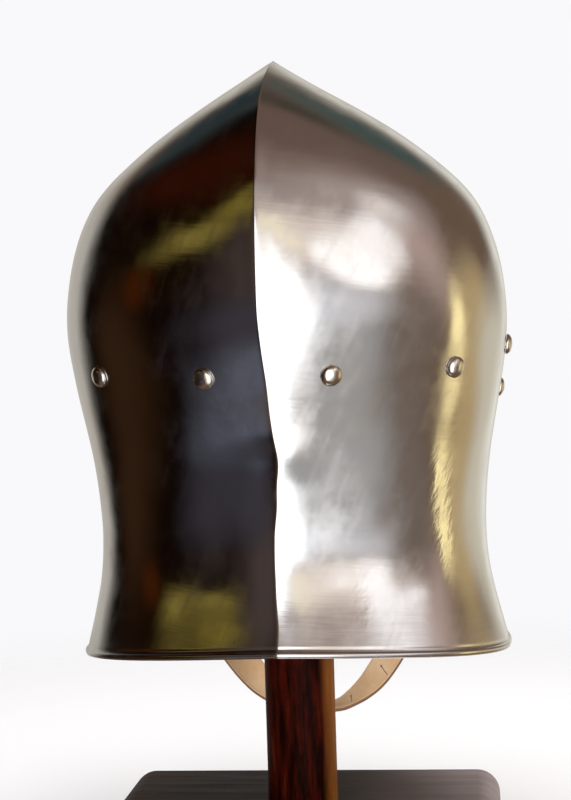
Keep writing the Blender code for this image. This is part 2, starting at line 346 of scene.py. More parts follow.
def surface(name: str) -> tuple[bpy.types.Material, Tree, bpy.types.Node]:
    """Make a material with a Principled shader.

    Args:
        name: The material's name.

    Returns:
        The material, its tree and its shader.
    """
    material = bpy.data.materials.new(name)
    material.use_nodes = True
    tree = Tree(material.node_tree)
    shader = tree.add("ShaderNodeBsdfPrincipled")
    output = tree.add("ShaderNodeOutputMaterial")
    tree.feed(output.inputs["Surface"], shader.outputs["BSDF"])
    return material, tree, shader


class Patch(NamedTuple):
    """An oval on a piece where the hammer marks stand close together, in millimetres."""

    place: Colour
    size: Colour


OIL_CLOUDS = Texture(even(14.0), 3.0, 0.55)
WEAR_CLOUDS = Texture(even(55.0), 5.0, 0.65)
PIT_CLOUDS = Texture(even(38.0), 2.0, 0.5)
PIT_CELLS = 210.0  # repeats per metre
WIPES = Texture((170.0, 60.0, 26.0), 4.0, 0.6, (0.0, 24.0, 0.0))
HAIRS = Texture((90.0, 90.0, 1500.0), 2.0, 0.6, (0.0, -31.0, 8.0))
SLANTS = Texture((1300.0, 110.0, 90.0), 2.0, 0.6, (0.0, 22.0, -14.0))
STROKES = Texture((24.0, 24.0, 360.0), 3.0, 0.6, (0.0, 7.0, 0.0))
FOLDS = Texture((330.0, 260.0, 130.0), 2.0, 0.5, (0.0, 35.0, 0.0))
WAVES = Texture(even(78.0), 2.0, 0.45)
SATIN = Texture(even(1500.0), 2.0, 0.5)


@dataclass(frozen=True)
class SteelFinish:
    """Steel that is planished, ground and polished by hand."""

    name: str
    colour: Colour
    warm: Colour  # faint brown of old oil
    stain: Colour  # dark specks and stains
    warm_share: float
    smooth: float  # roughness where the polish is best
    dull: float  # roughness where it is worn
    scratch_depth: float
    stroke_depth: float  # of the long strokes that the polishing wheel leaves round the piece
    wave_depth: float
    pit_depth: float
    crumple_depth: float = 0.0
    crumpled: tuple[Patch, ...] = ()
    foot: tuple[float, float] = (0.0, 0.0)  # heights between which the duller lower edge fades out
    foot_dullness: float = 0.0
    speck_stain: float = 0.4  # share of the stain in a speck
    speck_dullness: float = 0.15
    wiped_share: float = 0.6  # of the worn roughness, where a cloth has wiped
    satin_share: float = 0.35  # depth of the satin, as a share of a scratch

    def make(self) -> bpy.types.Material:
        """Make the material.

        Returns:
            The material.
        """
        material, tree, shader = surface(self.name)
        place = tree.object_place()
        pits = tree.spread(tree.cells(place, PIT_CELLS), 0.03, 0.12, 1.0, 0.0)
        specks = tree.times(pits, tree.spread(tree.cloud(place, PIT_CLOUDS), 0.62, 0.70))

        warmth = tree.times(tree.spread(tree.cloud(place, OIL_CLOUDS), 0.42, 0.66), self.warm_share)
        colour = tree.layer(warmth, self.colour, self.warm)
        colour = tree.layer(tree.times(specks, self.speck_stain), colour, self.stain)
        tree.feed(shader.inputs["Base Color"], colour)

        wear = tree.spread(tree.cloud(place, WEAR_CLOUDS), 0.35, 0.70, self.smooth, self.dull)
        wiped = tree.spread(tree.cloud(place, WIPES), 0.45, 0.72)
        rough = tree.plus(wear, tree.times(wiped, (self.dull - self.smooth) * self.wiped_share))
        rough = tree.plus(rough, tree.times(specks, self.speck_dullness))
        if self.foot_dullness:
            low = tree.spread(tree.axes(place)[2], *self.foot, self.foot_dullness, 0.0)
            rough = tree.plus(rough, low)
        tree.feed(shader.inputs["Roughness"], rough)

        normal = tree.relief(tree.cloud(place, WAVES), self.wave_depth)
        normal = tree.relief(tree.cloud(place, STROKES), self.stroke_depth, normal)
        for patch in self.crumpled:
            normal = tree.relief(self.crumple(tree, place, patch), self.crumple_depth, normal)
        for marks in (HAIRS, SLANTS):
            normal = tree.relief(tree.cloud(place, marks), self.scratch_depth, normal)
        normal = tree.relief(tree.cloud(place, SATIN), self.scratch_depth * self.satin_share, normal)
        normal = tree.relief(specks, -self.pit_depth, normal)
        tree.feed(shader.inputs["Normal"], normal)
        shader.inputs["Metallic"].default_value = 1.0
        return material

    def crumple(self, tree: Tree, place: Socket, patch: Patch) -> Socket:
        """Return the height of close hammer marks, which fade out at the edge of their patch.

        Args:
            tree: The material's tree.
            place: The place on the piece.
            patch: Where they are.

        Returns:
            The height, either side of 0.
        """
        offset = tree.places(PlaceSum.SUBTRACT, place, in_metres(patch.place))
        inside = tree.places(PlaceSum.DIVIDE, offset.outputs["Vector"], in_metres(patch.size))
        away = tree.places(PlaceSum.LENGTH, inside.outputs["Vector"]).outputs["Value"]
        share = tree.spread(away, 0.35, 1.0, 1.0, 0.0)
        return tree.times(tree.less(tree.cloud(place, FOLDS), 0.5), share)


LEATHER_CLOUDS = Texture(even(60.0), 4.0, 0.6)
LEATHER_BLOTCHES = Texture(even(22.0), 3.0, 0.5)
LEATHER_FIBRES = Texture((260.0, 1100.0, 1.0), 4.0, 0.65)
LEATHER_GRAIN = 1500.0  # cells per metre
LINE_WANDER = Texture(even(300.0), 2.0, 0.5)


@dataclass(frozen=True)
class LeatherFinish:
    """Vegetable-tanned leather, paler on its flesh side and darker along its cut edges.

    It reads the strap's own map, which is in metres: U runs along the strap from its middle, and V
    runs round it from the middle of the inner face.
    """

    name: str
    colour: Colour
    pale: Colour
    brown: Colour
    cut: Colour
    half_width: float
    thickness: float
    marks: tuple[float, ...]  # places of the scored lines along the strap
    worn_edge: float = 2.2 * MM  # width of the browner band beside the cut edge
    corner: tuple[float, float] = (0.3 * MM, 0.2 * MM)  # from the face, over which its cut edge comes in
    line_half: tuple[float, float] = (0.10 * MM, 0.32 * MM)  # a scored line's half width, full and faded
    line_start: tuple[float, float] = (0.4 * MM, 1.0 * MM)  # where it begins, out from the middle
    line_end: tuple[float, float] = (7.2 * MM, 7.8 * MM)
    line_depth: float = 0.35 * MM
    wander: float = 1.2 * MM  # how far a line strays, all told
    prick_place: float = 0.2 * MM  # of the awl mark, out from the middle
    prick_radius: tuple[float, float] = (0.45 * MM, 0.85 * MM)  # full and faded
    cloud_depth: float = 0.25 * MM
    fibre_depth: float = 0.05 * MM
    grain_depth: float = 0.03 * MM
    shine: float = 0.35

    def make(self) -> bpy.types.Material:
        """Make the material.

        Returns:
            The material.
        """
        material, tree, shader = surface(self.name)
        place = tree.object_place()
        strap_map = tree.add("ShaderNodeUVMap", uv_map="strap").outputs["UV"]
        along, round_it, _ = tree.axes(strap_map)
        clouds = tree.cloud(place, LEATHER_CLOUDS)
        fibres = tree.cloud(strap_map, LEATHER_FIBRES)

        from_middle = tree.maths(Sum.SIZE, round_it)
        near_edge = tree.spread(from_middle, self.half_width - self.worn_edge, self.half_width)
        before, after = self.corner
        on_side = tree.spread(from_middle, self.half_width - before, self.half_width + after)
        past = self.half_width + self.thickness
        outside = tree.spread(from_middle, past - after, past + before)
        cut_edge = tree.times(on_side, tree.less(1.0, outside))
        lines = self.scored(tree, along, round_it)

        colour = tree.layer(tree.spread(clouds, 0.35, 0.65, 0.0, 0.7), self.colour, self.pale)
        blotches = tree.spread(tree.cloud(place, LEATHER_BLOTCHES), 0.50, 0.75, 0.0, 0.5)
        colour = tree.layer(blotches, colour, self.brown)
        colour = tree.layer(tree.spread(fibres, 0.52, 0.72, 0.0, 0.22), colour, self.brown)
        colour = tree.layer(tree.times(near_edge, 0.35), colour, self.brown)
        colour = tree.layer(tree.times(outside, 0.45), colour, self.brown)
        colour = tree.layer(tree.times(cut_edge, 0.85), colour, self.cut)
        colour = tree.layer(tree.times(lines, 0.85), colour, self.cut)
        tree.feed(shader.inputs["Base Color"], colour)
        tree.feed(shader.inputs["Roughness"], tree.spread(fibres, 0.30, 0.70, 0.52, 0.74))

        normal = tree.relief(clouds, self.cloud_depth)
        normal = tree.relief(fibres, self.fibre_depth, normal)
        normal = tree.relief(tree.cells(place, LEATHER_GRAIN), self.grain_depth, normal)
        normal = tree.relief(lines, -self.line_depth, normal)
        tree.feed(shader.inputs["Normal"], normal)
        shader.inputs["Specular IOR Level"].default_value = self.shine
        return material

    def scored(self, tree: Tree, along: Socket, round_it: Socket) -> Socket:
        """Draw the scored lines and the awl marks at their ends.

        Args:
            tree: The material's tree.
            along: The place along the strap.
            round_it: The place round it.

        Returns:
            The share of each line or mark, from 0 to 1.
        """
        total: Any = 0.0
        wander = tree.times(tree.cloud(tree.object_place(), LINE_WANDER), self.wander)
        begun = tree.spread(round_it, *self.line_start)
        length = tree.times(begun, tree.spread(round_it, *self.line_end, 1.0, 0.0))
        from_end = tree.maths(Sum.POWER, tree.less(round_it, self.prick_place), 2.0)
        for mark in self.marks:
            offset = tree.less(along, mark)
            bent = tree.maths(Sum.SIZE, tree.less(tree.plus(offset, wander), self.wander / 2))
            line = tree.times(tree.spread(bent, *self.line_half, 1.0, 0.0), length)
            spot = tree.maths(Sum.ROOT, tree.plus(tree.maths(Sum.POWER, offset, 2.0), from_end))
            prick = tree.spread(spot, *self.prick_radius, 1.0, 0.0)
            total = tree.maths(Sum.LARGER, total, tree.maths(Sum.LARGER, line, prick))
        return total


WOOD_CLOUDS = Texture(even(30.0), 3.0, 0.5)


@dataclass(frozen=True)
class WoodFinish:
    """Stained wood with its grain along one direction, and a painted highlight that makes one side paler,
    where the light falls on it.
    """

    name: str
    dark: Colour
    middle: Colour
    bright: Colour
    grain: Colour  # repeats per metre along each axis, least along the grain
    smooth: float
    dull: float
    shine: float
    # colour of the painted highlight on the side that faces the light
    painted_highlight: Colour
    painted_highlight_from: float  # x at which the painted highlight begins
    painted_highlight_to: float  # x past which the painted highlight is full
    knots: tuple[Colour, ...] = ()  # in millimetres
    pores_to_grain: float = 4.5  # pores to one stripe of the grain
    bends: float = 16.0  # repeats per metre of the bends in the grain
    bend_size: float = 4 * MM
    knot_radius: tuple[float, float] = (1.5 * MM, 4 * MM)  # full and faded
    cloud_depth: float = 0.30 * MM
    grain_depth: float = 0.12 * MM
    pore_depth: float = 0.08 * MM

    def make(self) -> bpy.types.Material:
        """Make the material.

        Returns:
            The material.
        """
        material, tree, shader = surface(self.name)
        place = tree.object_place()
        wobble = tree.add("ShaderNodeTexNoise")
        tree.feed(wobble.inputs["Vector"], place)
        wobble.inputs["Scale"].default_value = self.bends
        moved = tree.places(PlaceSum.MULTIPLY_ADD, wobble.outputs["Color"], even(self.bend_size), place)
        bent = moved.outputs["Vector"]

        stripes = tree.cloud(bent, Texture(self.grain, 4.0, 0.55))
        x, y, z = (value * self.pores_to_grain for value in self.grain)
        pores = tree.spread(tree.cloud(bent, Texture((x, y, z), 3.0, 0.7)), 0.52, 0.68)
        clouds = tree.cloud(place, WOOD_CLOUDS)

        colour = tree.layer(tree.spread(stripes, 0.36, 0.62), self.dark, self.middle)
        colour = tree.layer(tree.spread(stripes, 0.58, 0.74, 0.0, 0.8), colour, self.bright)
        colour = tree.layer(tree.times(pores, 0.7), colour, self.dark)
        colour = tree.layer(tree.spread(clouds, 0.50, 0.70, 0.0, 0.45), colour, self.dark)
        # painted highlight: the wood turns paler towards the side that faces the light
        outer = tree.spread(tree.axes(bent)[0], self.painted_highlight_to, self.painted_highlight_from, 1.0, 0.0)
        pale = tree.layer(tree.spread(stripes, 0.40, 0.60, 0.25, 0.0), self.painted_highlight, self.middle)
        colour = tree.layer(tree.times(outer, 0.85), colour, pale)
        for knot in self.knots:
            away = tree.places(PlaceSum.DISTANCE, bent, in_metres(knot)).outputs["Value"]
            colour = tree.layer(tree.spread(away, *self.knot_radius, 0.9, 0.0), colour, self.dark)
        tree.feed(shader.inputs["Base Color"], colour)
        tree.feed(shader.inputs["Roughness"], tree.spread(stripes, 0.30, 0.70, self.smooth, self.dull))

        normal = tree.relief(clouds, self.cloud_depth)
        normal = tree.relief(stripes, self.grain_depth, normal)
        normal = tree.relief(pores, -self.pore_depth, normal)
        tree.feed(shader.inputs["Normal"], normal)
        shader.inputs["Specular IOR Level"].default_value = self.shine
        return material


POLISHED_STEEL = SteelFinish(
    name="polished_steel",
    colour=(0.66, 0.66, 0.67),
    warm=(0.63, 0.60, 0.57),
    stain=(0.30, 0.26, 0.22),
    warm_share=0.6,
    smooth=0.10,
    dull=0.20,
    scratch_depth=0.0008 * MM,
    stroke_depth=0.028 * MM,
    wave_depth=0.06 * MM,
    pit_depth=0.01 * MM,
    crumple_depth=0.17 * MM,
    crumpled=(
        Patch((-75, 51, 176), (10, 40, 44)),
        Patch((-40, 98, 144), (12, 30, 26)),
        Patch((27, 72, 322), (14, 30, 12)),
    ),
    foot=(108 * MM, 134 * MM),
    foot_dullness=0.09,
)
INNER_STEEL = SteelFinish(
    name="inner_steel",
    colour=(0.34, 0.33, 0.32),
    warm=(0.26, 0.20, 0.15),
    stain=(0.10, 0.07, 0.05),
    warm_share=0.8,
    smooth=0.38,
    dull=0.55,
    scratch_depth=0.01 * MM,
    stroke_depth=0.03 * MM,
    wave_depth=0.25 * MM,
    pit_depth=0.08 * MM,
)
RIVET_STEEL = SteelFinish(
    name="rivet_steel",
    colour=(0.66, 0.64, 0.61),
    warm=(0.60, 0.53, 0.45),
    stain=(0.16, 0.12, 0.08),
    warm_share=0.6,
    smooth=0.16,
    dull=0.30,
    scratch_depth=0.003 * MM,
    stroke_depth=0.005 * MM,
    wave_depth=0.08 * MM,
    pit_depth=0.05 * MM,
)
POST_WOOD = WoodFinish(
    name="post_wood",
    dark=(0.005, 0.0008, 0.0004),
    middle=(0.030, 0.0028, 0.0010),
    bright=(0.065, 0.013, 0.004),
    grain=(260.0, 260.0, 30.0),
    smooth=0.35,
    dull=0.55,
    shine=0.03,
    # painted highlight: an orange-brown strip down the side of the post that faces the light
    painted_highlight=(0.20, 0.070, 0.014),
    painted_highlight_from=-9 * MM,
    painted_highlight_to=-15.5 * MM,
    knots=((7, 16, 68),),
)
BOARD_WOOD = WoodFinish(
    name="board_wood",
    dark=(0.012, 0.0065, 0.0055),
    middle=(0.030, 0.016, 0.014),
    bright=(0.055, 0.034, 0.030),
    grain=(8.0, 150.0, 150.0),
    smooth=0.45,
    dull=0.60,
    shine=0.06,
    # painted sheen: the board turns pale grey towards the side that faces the light
    painted_highlight=(0.30, 0.25, 0.25),
    painted_highlight_from=-5 * MM,
    painted_highlight_to=-85 * MM,
)


# ------------------------------------------------------------------ shared shapes


def smooth_row(rows: Sequence[Any], place: float) -> Any:
    """Return the row at a fractional place in a table, on a smooth curve through its rows.

    Args:
        rows: Rows of named numbers.
        place: The place, from 0 to the last row.

    Returns:
        A row of the same kind.
    """
    index = min(int(place), len(rows) - 2)
    share = place - index
    here, after = rows[index], rows[index + 1]
    before = rows[index - 1] if index else here
    beyond = rows[index + 2] if index + 2 < len(rows) else after
    values = []
    for a, b, c, d in zip(before, here, after, beyond):
        leave = (c - a) / 2 if index else c - b
        arrive = (d - b) / 2 if index + 2 < len(rows) else c - b
        values.append(
            (2 * share**3 - 3 * share**2 + 1) * b
            + (share**3 - 2 * share**2 + share) * leave
            + (3 * share**2 - 2 * share**3) * c
            + (share**3 - share**2) * arrive
        )
    return type(rows[0])(*values)


def bridge(bm: bmesh.types.BMesh, rings: Sequence[Sequence[Any]], along: bool = False) -> list[list[Any]]:
    """Join closed rings of points with quads.

    Args:
        bm: The mesh being built.
        rings: Rings with the same number of points.
        along: Whether the last ring joins the first.

    Returns:
        The rings of vertices.
    """
    made = [[bm.verts.new(point) for point in ring] for ring in rings]
    pairs = list(zip(made, made[1:]))
    if along:
        pairs.append((made[-1], made[0]))
    count = len(rings[0])
    for ring, following in pairs:
        for i in range(count):
            j = (i + 1) % count
            bm.faces.new((ring[i], ring[j], following[j], following[i]))
    return made


def sweep(bm: bmesh.types.BMesh, points: Sequence[Vector], radius: float, sides: int, closed: bool) -> None:
    """Add a round bar along a line.

    Args:
        bm: The mesh being built.
        points: The middle of the bar.
        radius: Its radius.
        sides: Facets round it.
        closed: Whether it is a ring.
    """
    rings = []
    count = len(points)
    normal: Optional[Vector] = None
    for i, point in enumerate(points):
        before = points[i - 1] if closed or i else points[i]
        after = points[(i + 1) % count] if closed or i + 1 < count else points[i]
        tangent = (after - before).normalized()
        if normal is None:
            normal = tangent.orthogonal().normalized()
        normal = (normal - tangent * normal.dot(tangent)).normalized()
        side = tangent.cross(normal)
        angles = [2 * math.pi * j / sides for j in range(sides)]
        rings.append([point + (normal * math.cos(a) + side * math.sin(a)) * radius for a in angles])
    if closed:
        # start the last joint on the corner that lies nearest, so that the ring doesn't twist
        last, first = rings[-1], rings[0]
        shift = min(range(sides), key=lambda k: (last[k] - first[0]).length)
        if shift:
            for i, ring in enumerate(rings):
                turn = 2 * math.pi * shift / sides * i / (count - 1)
                before, after = points[i - 1], points[(i + 1) % count]
                axis = (after - before).normalized()
                spin = Matrix.Rotation(turn, 3, axis)
                rings[i] = [points[i] + spin @ (corner - points[i]) for corner in ring]
    made = bridge(bm, rings, along=closed)
    if not closed:
        bm.faces.new(made[0])
        bm.faces.new(made[-1])


def turned(profile: Profile, sides: int) -> bmesh.types.BMesh:
    """Turn a profile of (radius, height) round Z, from its top to its foot, both on the axis.

    Args:
        profile: The profile.
        sides: Facets round it.

    Returns:
        The turned form.
    """
    bm = bmesh.new()
    rings = []
    for radius, height in profile[1:-1]:
        angles = [2 * math.pi * i / sides for i in range(sides)]
        rings.append([(radius * math.cos(a), radius * math.sin(a), height) for a in angles])
    made = bridge(bm, rings)
    top = bm.verts.new((0, 0, profile[0][1]))
    foot = bm.verts.new((0, 0, profile[-1][1]))
    for i in range(sides):
        j = (i + 1) % sides
        bm.faces.new((top, made[0][j], made[0][i]))
        bm.faces.new((foot, made[-1][i], made[-1][j]))
    bmesh.ops.recalc_face_normals(bm, faces=bm.faces)
    return bm


def piece(
    name: str, bm: bmesh.types.BMesh, materials: Sequence[bpy.types.Material], sharp: float = 40.0
) -> bpy.types.Object:
    """Make an object of a mesh, shaded smooth but for its sharp edges.

    Args:
        name: The object's name.
        bm: The mesh, which is freed.
        materials: Its materials.
        sharp: Degrees from which an edge is sharp.

    Returns:
        The object.
    """
    mesh = bpy.data.meshes.new(name)
    bm.to_mesh(mesh)
    bm.free()
    for material in materials:
        mesh.materials.append(material)
    mesh.shade_smooth()
    mesh.set_sharp_from_angle(angle=math.radians(sharp))
    item = bpy.data.objects.new(name, mesh)
    bpy.context.scene.collection.objects.link(item)
    return item


def cut(target: bpy.types.Object, cutter: bpy.types.Object) -> None:
    """Cut one object from another for good, and remove the cutter.

    Args:
        target: The object that is cut.
        cutter: The object that cuts it.
    """
    modifier = target.modifiers.new(cutter.name, "BOOLEAN")
    modifier.operation = "DIFFERENCE"
    modifier.solver = "EXACT"
    modifier.object = cutter
    shaped = bpy.data.meshes.new_from_object(target.evaluated_get(bpy.context.evaluated_depsgraph_get()))
    target.modifiers.clear()
    shaped.name = target.data.name
    target.data = shaped
    bpy.data.objects.remove(cutter)


def finish_piece(item: bpy.types.Object, slot: str, *nodes: str) -> None:
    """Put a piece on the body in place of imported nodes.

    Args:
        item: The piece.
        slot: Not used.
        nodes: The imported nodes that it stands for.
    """
    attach(item, "root")
    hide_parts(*nodes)
    LOG.info("%s: %d faces in place of %s", item.name, len(item.data.polygons), ", ".join(nodes))


# ------------------------------------------------------------------ skull


class Section(NamedTuple):
    """One line round the skull, in millimetres. Heights are above the lower edge at the sides."""

    side_z: float
    side_y: float
    half_width: float
    back_z: float
    back_y: float
    front_z: float
    front_y: float
    crease: float  # share of the outline that runs straight into the keel
    fullness: float  # exponent of the outline, higher is squarer


SECTIONS = [
    #       side_z side_y half_width back_z back_y front_z front_y crease fullness
    Section(286.0, 38.0, 0.0, 286.0, 38.0, 286.0, 38.0, 0.97, 2.0),
    Section(279.0, 34.0, 11.0, 281.5, 56.0, 282.5, 12.0, 0.97, 2.0),
    Section(266.0, 26.0, 33.5, 270.0, 82.0, 270.0, -32.0, 0.96, 2.0),
    Section(249.0, 16.0, 61.5, 253.0, 103.0, 250.0, -70.0, 0.95, 2.2),
    Section(224.0, 7.0, 91.0, 227.0, 117.0, 224.0, -98.0, 0.93, 2.5),
    Section(196.0, 0.0, 104.0, 194.0, 123.0, 196.0, -114.0, 0.92, 2.8),
    Section(163.0, 0.0, 108.3, 160.0, 121.0, 163.0, -122.0, 0.90, 2.9),
    Section(130.0, 0.0, 104.5, 128.0, 108.0, 130.0, -124.0, 0.88, 2.9),
    Section(96.0, 0.0, 98.4, 97.0, 94.0, 96.0, -123.0, 0.86, 2.8),
    Section(60.0, 0.0, 95.4, 66.0, 88.0, 60.0, -121.0, 0.82, 2.7),
    Section(32.0, 0.0, 98.0, 40.0, 90.0, 32.0, -119.0, 0.76, 2.6),
    Section(0.0, 0.0, 106.0, 11.0, 101.0, 0.0, -117.0, 0.70, 2.5),
]
LAST = len(SECTIONS) - 1


class Sway(NamedTuple):
    """How far the hand-drawn back keel stands towards the wearer's left, in millimetres."""

    height: float  # above the lower edge
    offset: float


FOOT_SWAY = [Sway(0.0, -1.0), Sway(14.0, -1.0), Sway(22.0, -1.5), Sway(36.0, -0.4), Sway(54.0, 0.1)]
NAPE_SWAY = [Sway(66.0, -0.2), Sway(78.0, -2.0), Sway(87.0, -2.1), Sway(99.0, -4.0), Sway(110.0, -1.8)]
BACK_SWAY = [Sway(120.0, -1.1), Sway(134.0, -0.8), Sway(148.0, 0.3), Sway(164.0, 1.2), Sway(220.0, 0.9)]
KEEL_SWAY = FOOT_SWAY + NAPE_SWAY + BACK_SWAY + [Sway(262.0, 0.6), Sway(286.0, 0.0)]


class Corner(NamedTuple):
    """A corner of one half of the face opening, in millimetres, seen from the front."""

    x: float
    z: float
    radius: float


FACE_CORNERS = [
    #      x      z    radius
    Corner(14.0, -20.0, 0.0),  # below the lower edge
    Corner(11.0, 88.0, 9.0),  # top of the slit between the cheeks
    Corner(62.0, 106.0, 14.0),  # lower outer corner of the eye
    Corner(60.0, 146.0, 15.0),  # upper outer corner of the eye
    Corner(13.0, 149.0, 7.0),  # brow beside the nasal point
    Corner(0.0, 131.0, 0.0),  # nasal point
]


class Dent(NamedTuple):
    """A hammer mark on the back of the skull, in millimetres."""

    x: float
    height: float  # above the lower edge
    radius: float
    depth: float


DENTS = [
    #      x     height radius depth
    Dent(20.0, 214.0, 9.0, 0.22),
    Dent(31.0, 205.0, 7.0, 0.18),
    Dent(14.0, 226.0, 7.0, 0.16),
    Dent(52.0, 196.0, 9.0, 0.22),
    Dent(-44.0, 48.0, 9.0, 0.22),
    Dent(-52.0, 62.0, 7.0, 0.20),
    Dent(-60.0, 30.0, 8.0, 0.22),
    Dent(-34.0, 205.0, 10.0, 0.25),
    Dent(-22.0, 182.0, 9.0, -0.18),
    Dent(-48.0, 178.0, 9.0, 0.20),
    Dent(-66.0, 84.0, 6.0, 0.20),
    Dent(-70.0, 66.0, 5.0, 0.18),
    Dent(-67.0, 50.0, 6.0, 0.18),
    Dent(-72.0, 98.0, 6.0, 0.18),
    Dent(88.0, 62.0, 7.0, 0.25),
    Dent(90.0, 34.0, 8.0, 0.25),
    Dent(84.0, 92.0, 8.0, 0.20),
    Dent(34.0, 28.0, 10.0, 0.20),
    Dent(56.0, 24.0, 9.0, -0.16),
]


class Tuck(NamedTuple):
    """A long stretch of the back where the flank turns in early, in millimetres."""

    start: float  # x at which it begins to turn in
    end: float  # x from which it lies in
    height: float  # of its middle, above the lower edge
    reach: float  # up and down from its middle
    depth: float


TUCKS = [
    #    start   end  height reach depth
    Tuck(-65.0, -85.0, 79.0, 34.0, 1.5),
    Tuck(-36.0, -70.0, 50.0, 36.0, 1.8),
]
TUCK_END = (-16.0, 26.0)  # y over which each runs out at the side


def ease(share: np.ndarray) -> np.ndarray:
    """Return a share from 0 to 1, soft at both ends."""
    held = np.clip(share, 0.0, 1.0)
    return held * held * (3 - 2 * held)


@dataclass
class SkullForm:
    """The smooth form of the skull's outer face, before any hammer mark."""

    rim_height: float  # of the lower edge at the sides
    rows: Optional[np.ndarray] = None
    sway: np.ndarray = field(init=False)  # of the keel, in metres, for each millimetre of height
    steps: int = 12  # rows between two sections
    planish_passes: int = 22  # rounds of smoothing along the rows
    keel_rise: float = 0.3 * MM
    keel_spread: float = 6.5 * MM
    keel_fade: float = 60 * MM
    sway_spread: float = 45 * MM
    sway_softness: int = 15  # millimetres over which the keel's bends are rounded
    waist_rise: float = 2.4 * MM  # the flanks stand a little steeper beside the keel at the waist
    waist_spread: float = 19 * MM
    waist_foot: tuple[float, float] = (12 * MM, 45 * MM)  # heights over which it comes in
    waist_head: tuple[float, float] = (98 * MM, 114 * MM)  # heights over which it goes out
    inner_keel: float = 1.07  # sheets by which the inner keel lies deeper, as its halves meet at an angle
    inner_crown: float = 1.3  # sheets by which the inner crown lies deeper
    halvings: int = 24  # rounds of halving that find a level

    def __post_init__(self) -> None:
        """Smooth the sections along the skull, with the crown and the foot kept in place."""
        heights = np.arange(SECTIONS[0].side_z + 1)
        drawn = np.interp(heights, [row.height for row in KEEL_SWAY], [row.offset for row in KEEL_SWAY])
        weights = np.hanning(self.sway_softness + 2)[1:-1]
        padded = np.pad(drawn, self.sway_softness // 2, mode="edge")
        self.sway = np.convolve(padded, weights / weights.sum(), mode="valid") * MM
        if self.rows is not None:
            return
        count = LAST * self.steps
        rows = np.array([tuple(smooth_row(SECTIONS, i / self.steps)) for i in range(count + 1)])
        for _ in range(self.planish_passes):
            rows[1:-1] = (rows[:-2] + 2 * rows[1:-1] + rows[2:]) / 4
        self.rows = rows

    def grid(self, levels: np.ndarray, turns: np.ndarray) -> np.ndarray:
        """Return points of the face.

        Args:
            levels: From 0 at the crown to LAST at the lower edge.
            turns: Angles round from the back keel, through +X.

        Returns:
            An array of points, one row for each level.
        """
        place = np.clip(levels * self.steps, 0, len(self.rows) - 1.000001)  # short of the last row
        index = place.astype(int)
        share = (place - index)[:, None]
        section = self.rows[index] * (1 - share) + self.rows[index + 1] * share
        columns = [section[:, i : i + 1] for i in range(section.shape[1])]
        side_z, side_y, half_width, back_z, back_y, front_z, front_y, crease, fullness = columns
        along = np.abs(np.cos(turns))[None, :]
        at_back = (np.cos(turns) > 0)[None, :]
        out = crease * (1 - along**fullness) + (1 - crease) * np.sqrt(np.maximum(0.0, 1 - along**2))
        x = out * half_width * np.sign(np.sin(turns))[None, :] * MM
        y = side_y + (np.where(at_back, back_y, front_y) - side_y) * along
        z = side_z + (np.where(at_back, back_z, front_z) - side_z) * along**2
        near_keel = np.maximum(0.0, 1 - np.abs(x) / self.keel_spread) ** 2
        rise = self.keel_rise * near_keel * np.minimum(1.0, half_width * MM / self.keel_fade)
        height = z * MM
        sway = np.interp(z, np.arange(len(self.sway)), self.sway)
        beside = np.maximum(0.0, 1 - np.abs(x) / self.sway_spread) ** 2
        x = x + np.where(at_back, sway, 0.0) * beside * np.minimum(1.0, half_width * MM / self.keel_fade)
        rise = rise + self.waist_rise * np.exp(-((x / self.waist_spread) ** 2)) * self.waist_share(height)
        y = y * MM + np.where(at_back, rise, -rise)
        return np.stack([x, y, self.rim_height + height], axis=-1)

    def waist_share(self, height: np.ndarray) -> np.ndarray:
        """Return how far a height belongs to the waist, from 0 to 1."""
        (foot, full), (last, head) = self.waist_foot, self.waist_head
        return ease((height - foot) / (full - foot)) * ease((head - height) / (head - last))

    def inner(self, sheet: float) -> "SkullForm":
        """Return the form of the skull's inner face.

        Args:
            sheet: Thickness of the steel.

        Returns:
            The inner form, with the same levels and turns.
        """
        rows = self.rows.copy()
        at_keel = sheet / MM * self.inner_keel
        for reach, height, depth in ((2, 0, sheet / MM), (4, 3, at_keel), (6, 5, at_keel)):
            run = np.gradient(self.rows[:, reach])
            fall = np.gradient(self.rows[:, height])
            length = np.hypot(run, fall)
            out, up = -fall / length, run / length
            if reach == 6:
                out, up = fall / length, -run / length
            level_foot = np.clip((len(rows) - 1 - np.arange(len(rows))) / self.steps, 0.0, 1.0)
            rows[:, reach] -= depth * out
            rows[:, height] -= depth * up * level_foot
        rows[0] = self.rows[0]
        rows[0, [0, 3, 5]] -= self.inner_crown * sheet / MM
        return SkullForm(self.rim_height, rows)

    def point(self, level: float, turn: float) -> Vector:
        """Return one point of the face."""
        return Vector(self.grid(np.array([level]), np.array([turn]))[0, 0])

    def normal(self, level: float, turn: float) -> Vector:
        """Return the outward direction at one point.

        Args:
            level: From 0 at the crown to LAST at the lower edge.
            turn: The angle round from the back keel.

        Returns:
            The direction.
        """
        step = 0.02
        across = self.point(level, turn + step) - self.point(level, turn - step)
        down = self.point(level + step, turn) - self.point(level - step, turn)
        return across.cross(down).normalized()

    def level_at(self, turn: float, height: float) -> float:
        """Return the level at which a turn lies this high above the lower edge, in metres.

        Args:
            turn: The angle round from the back keel.
            height: The height in metres.

        Returns:
            The level.
        """
        high, low = 1.0, float(LAST)
        for _ in range(self.halvings):
            middle = (high + low) / 2
            if self.point(middle, turn).z - self.rim_height > height:
                high = middle
            else:
                low = middle
        return (high + low) / 2


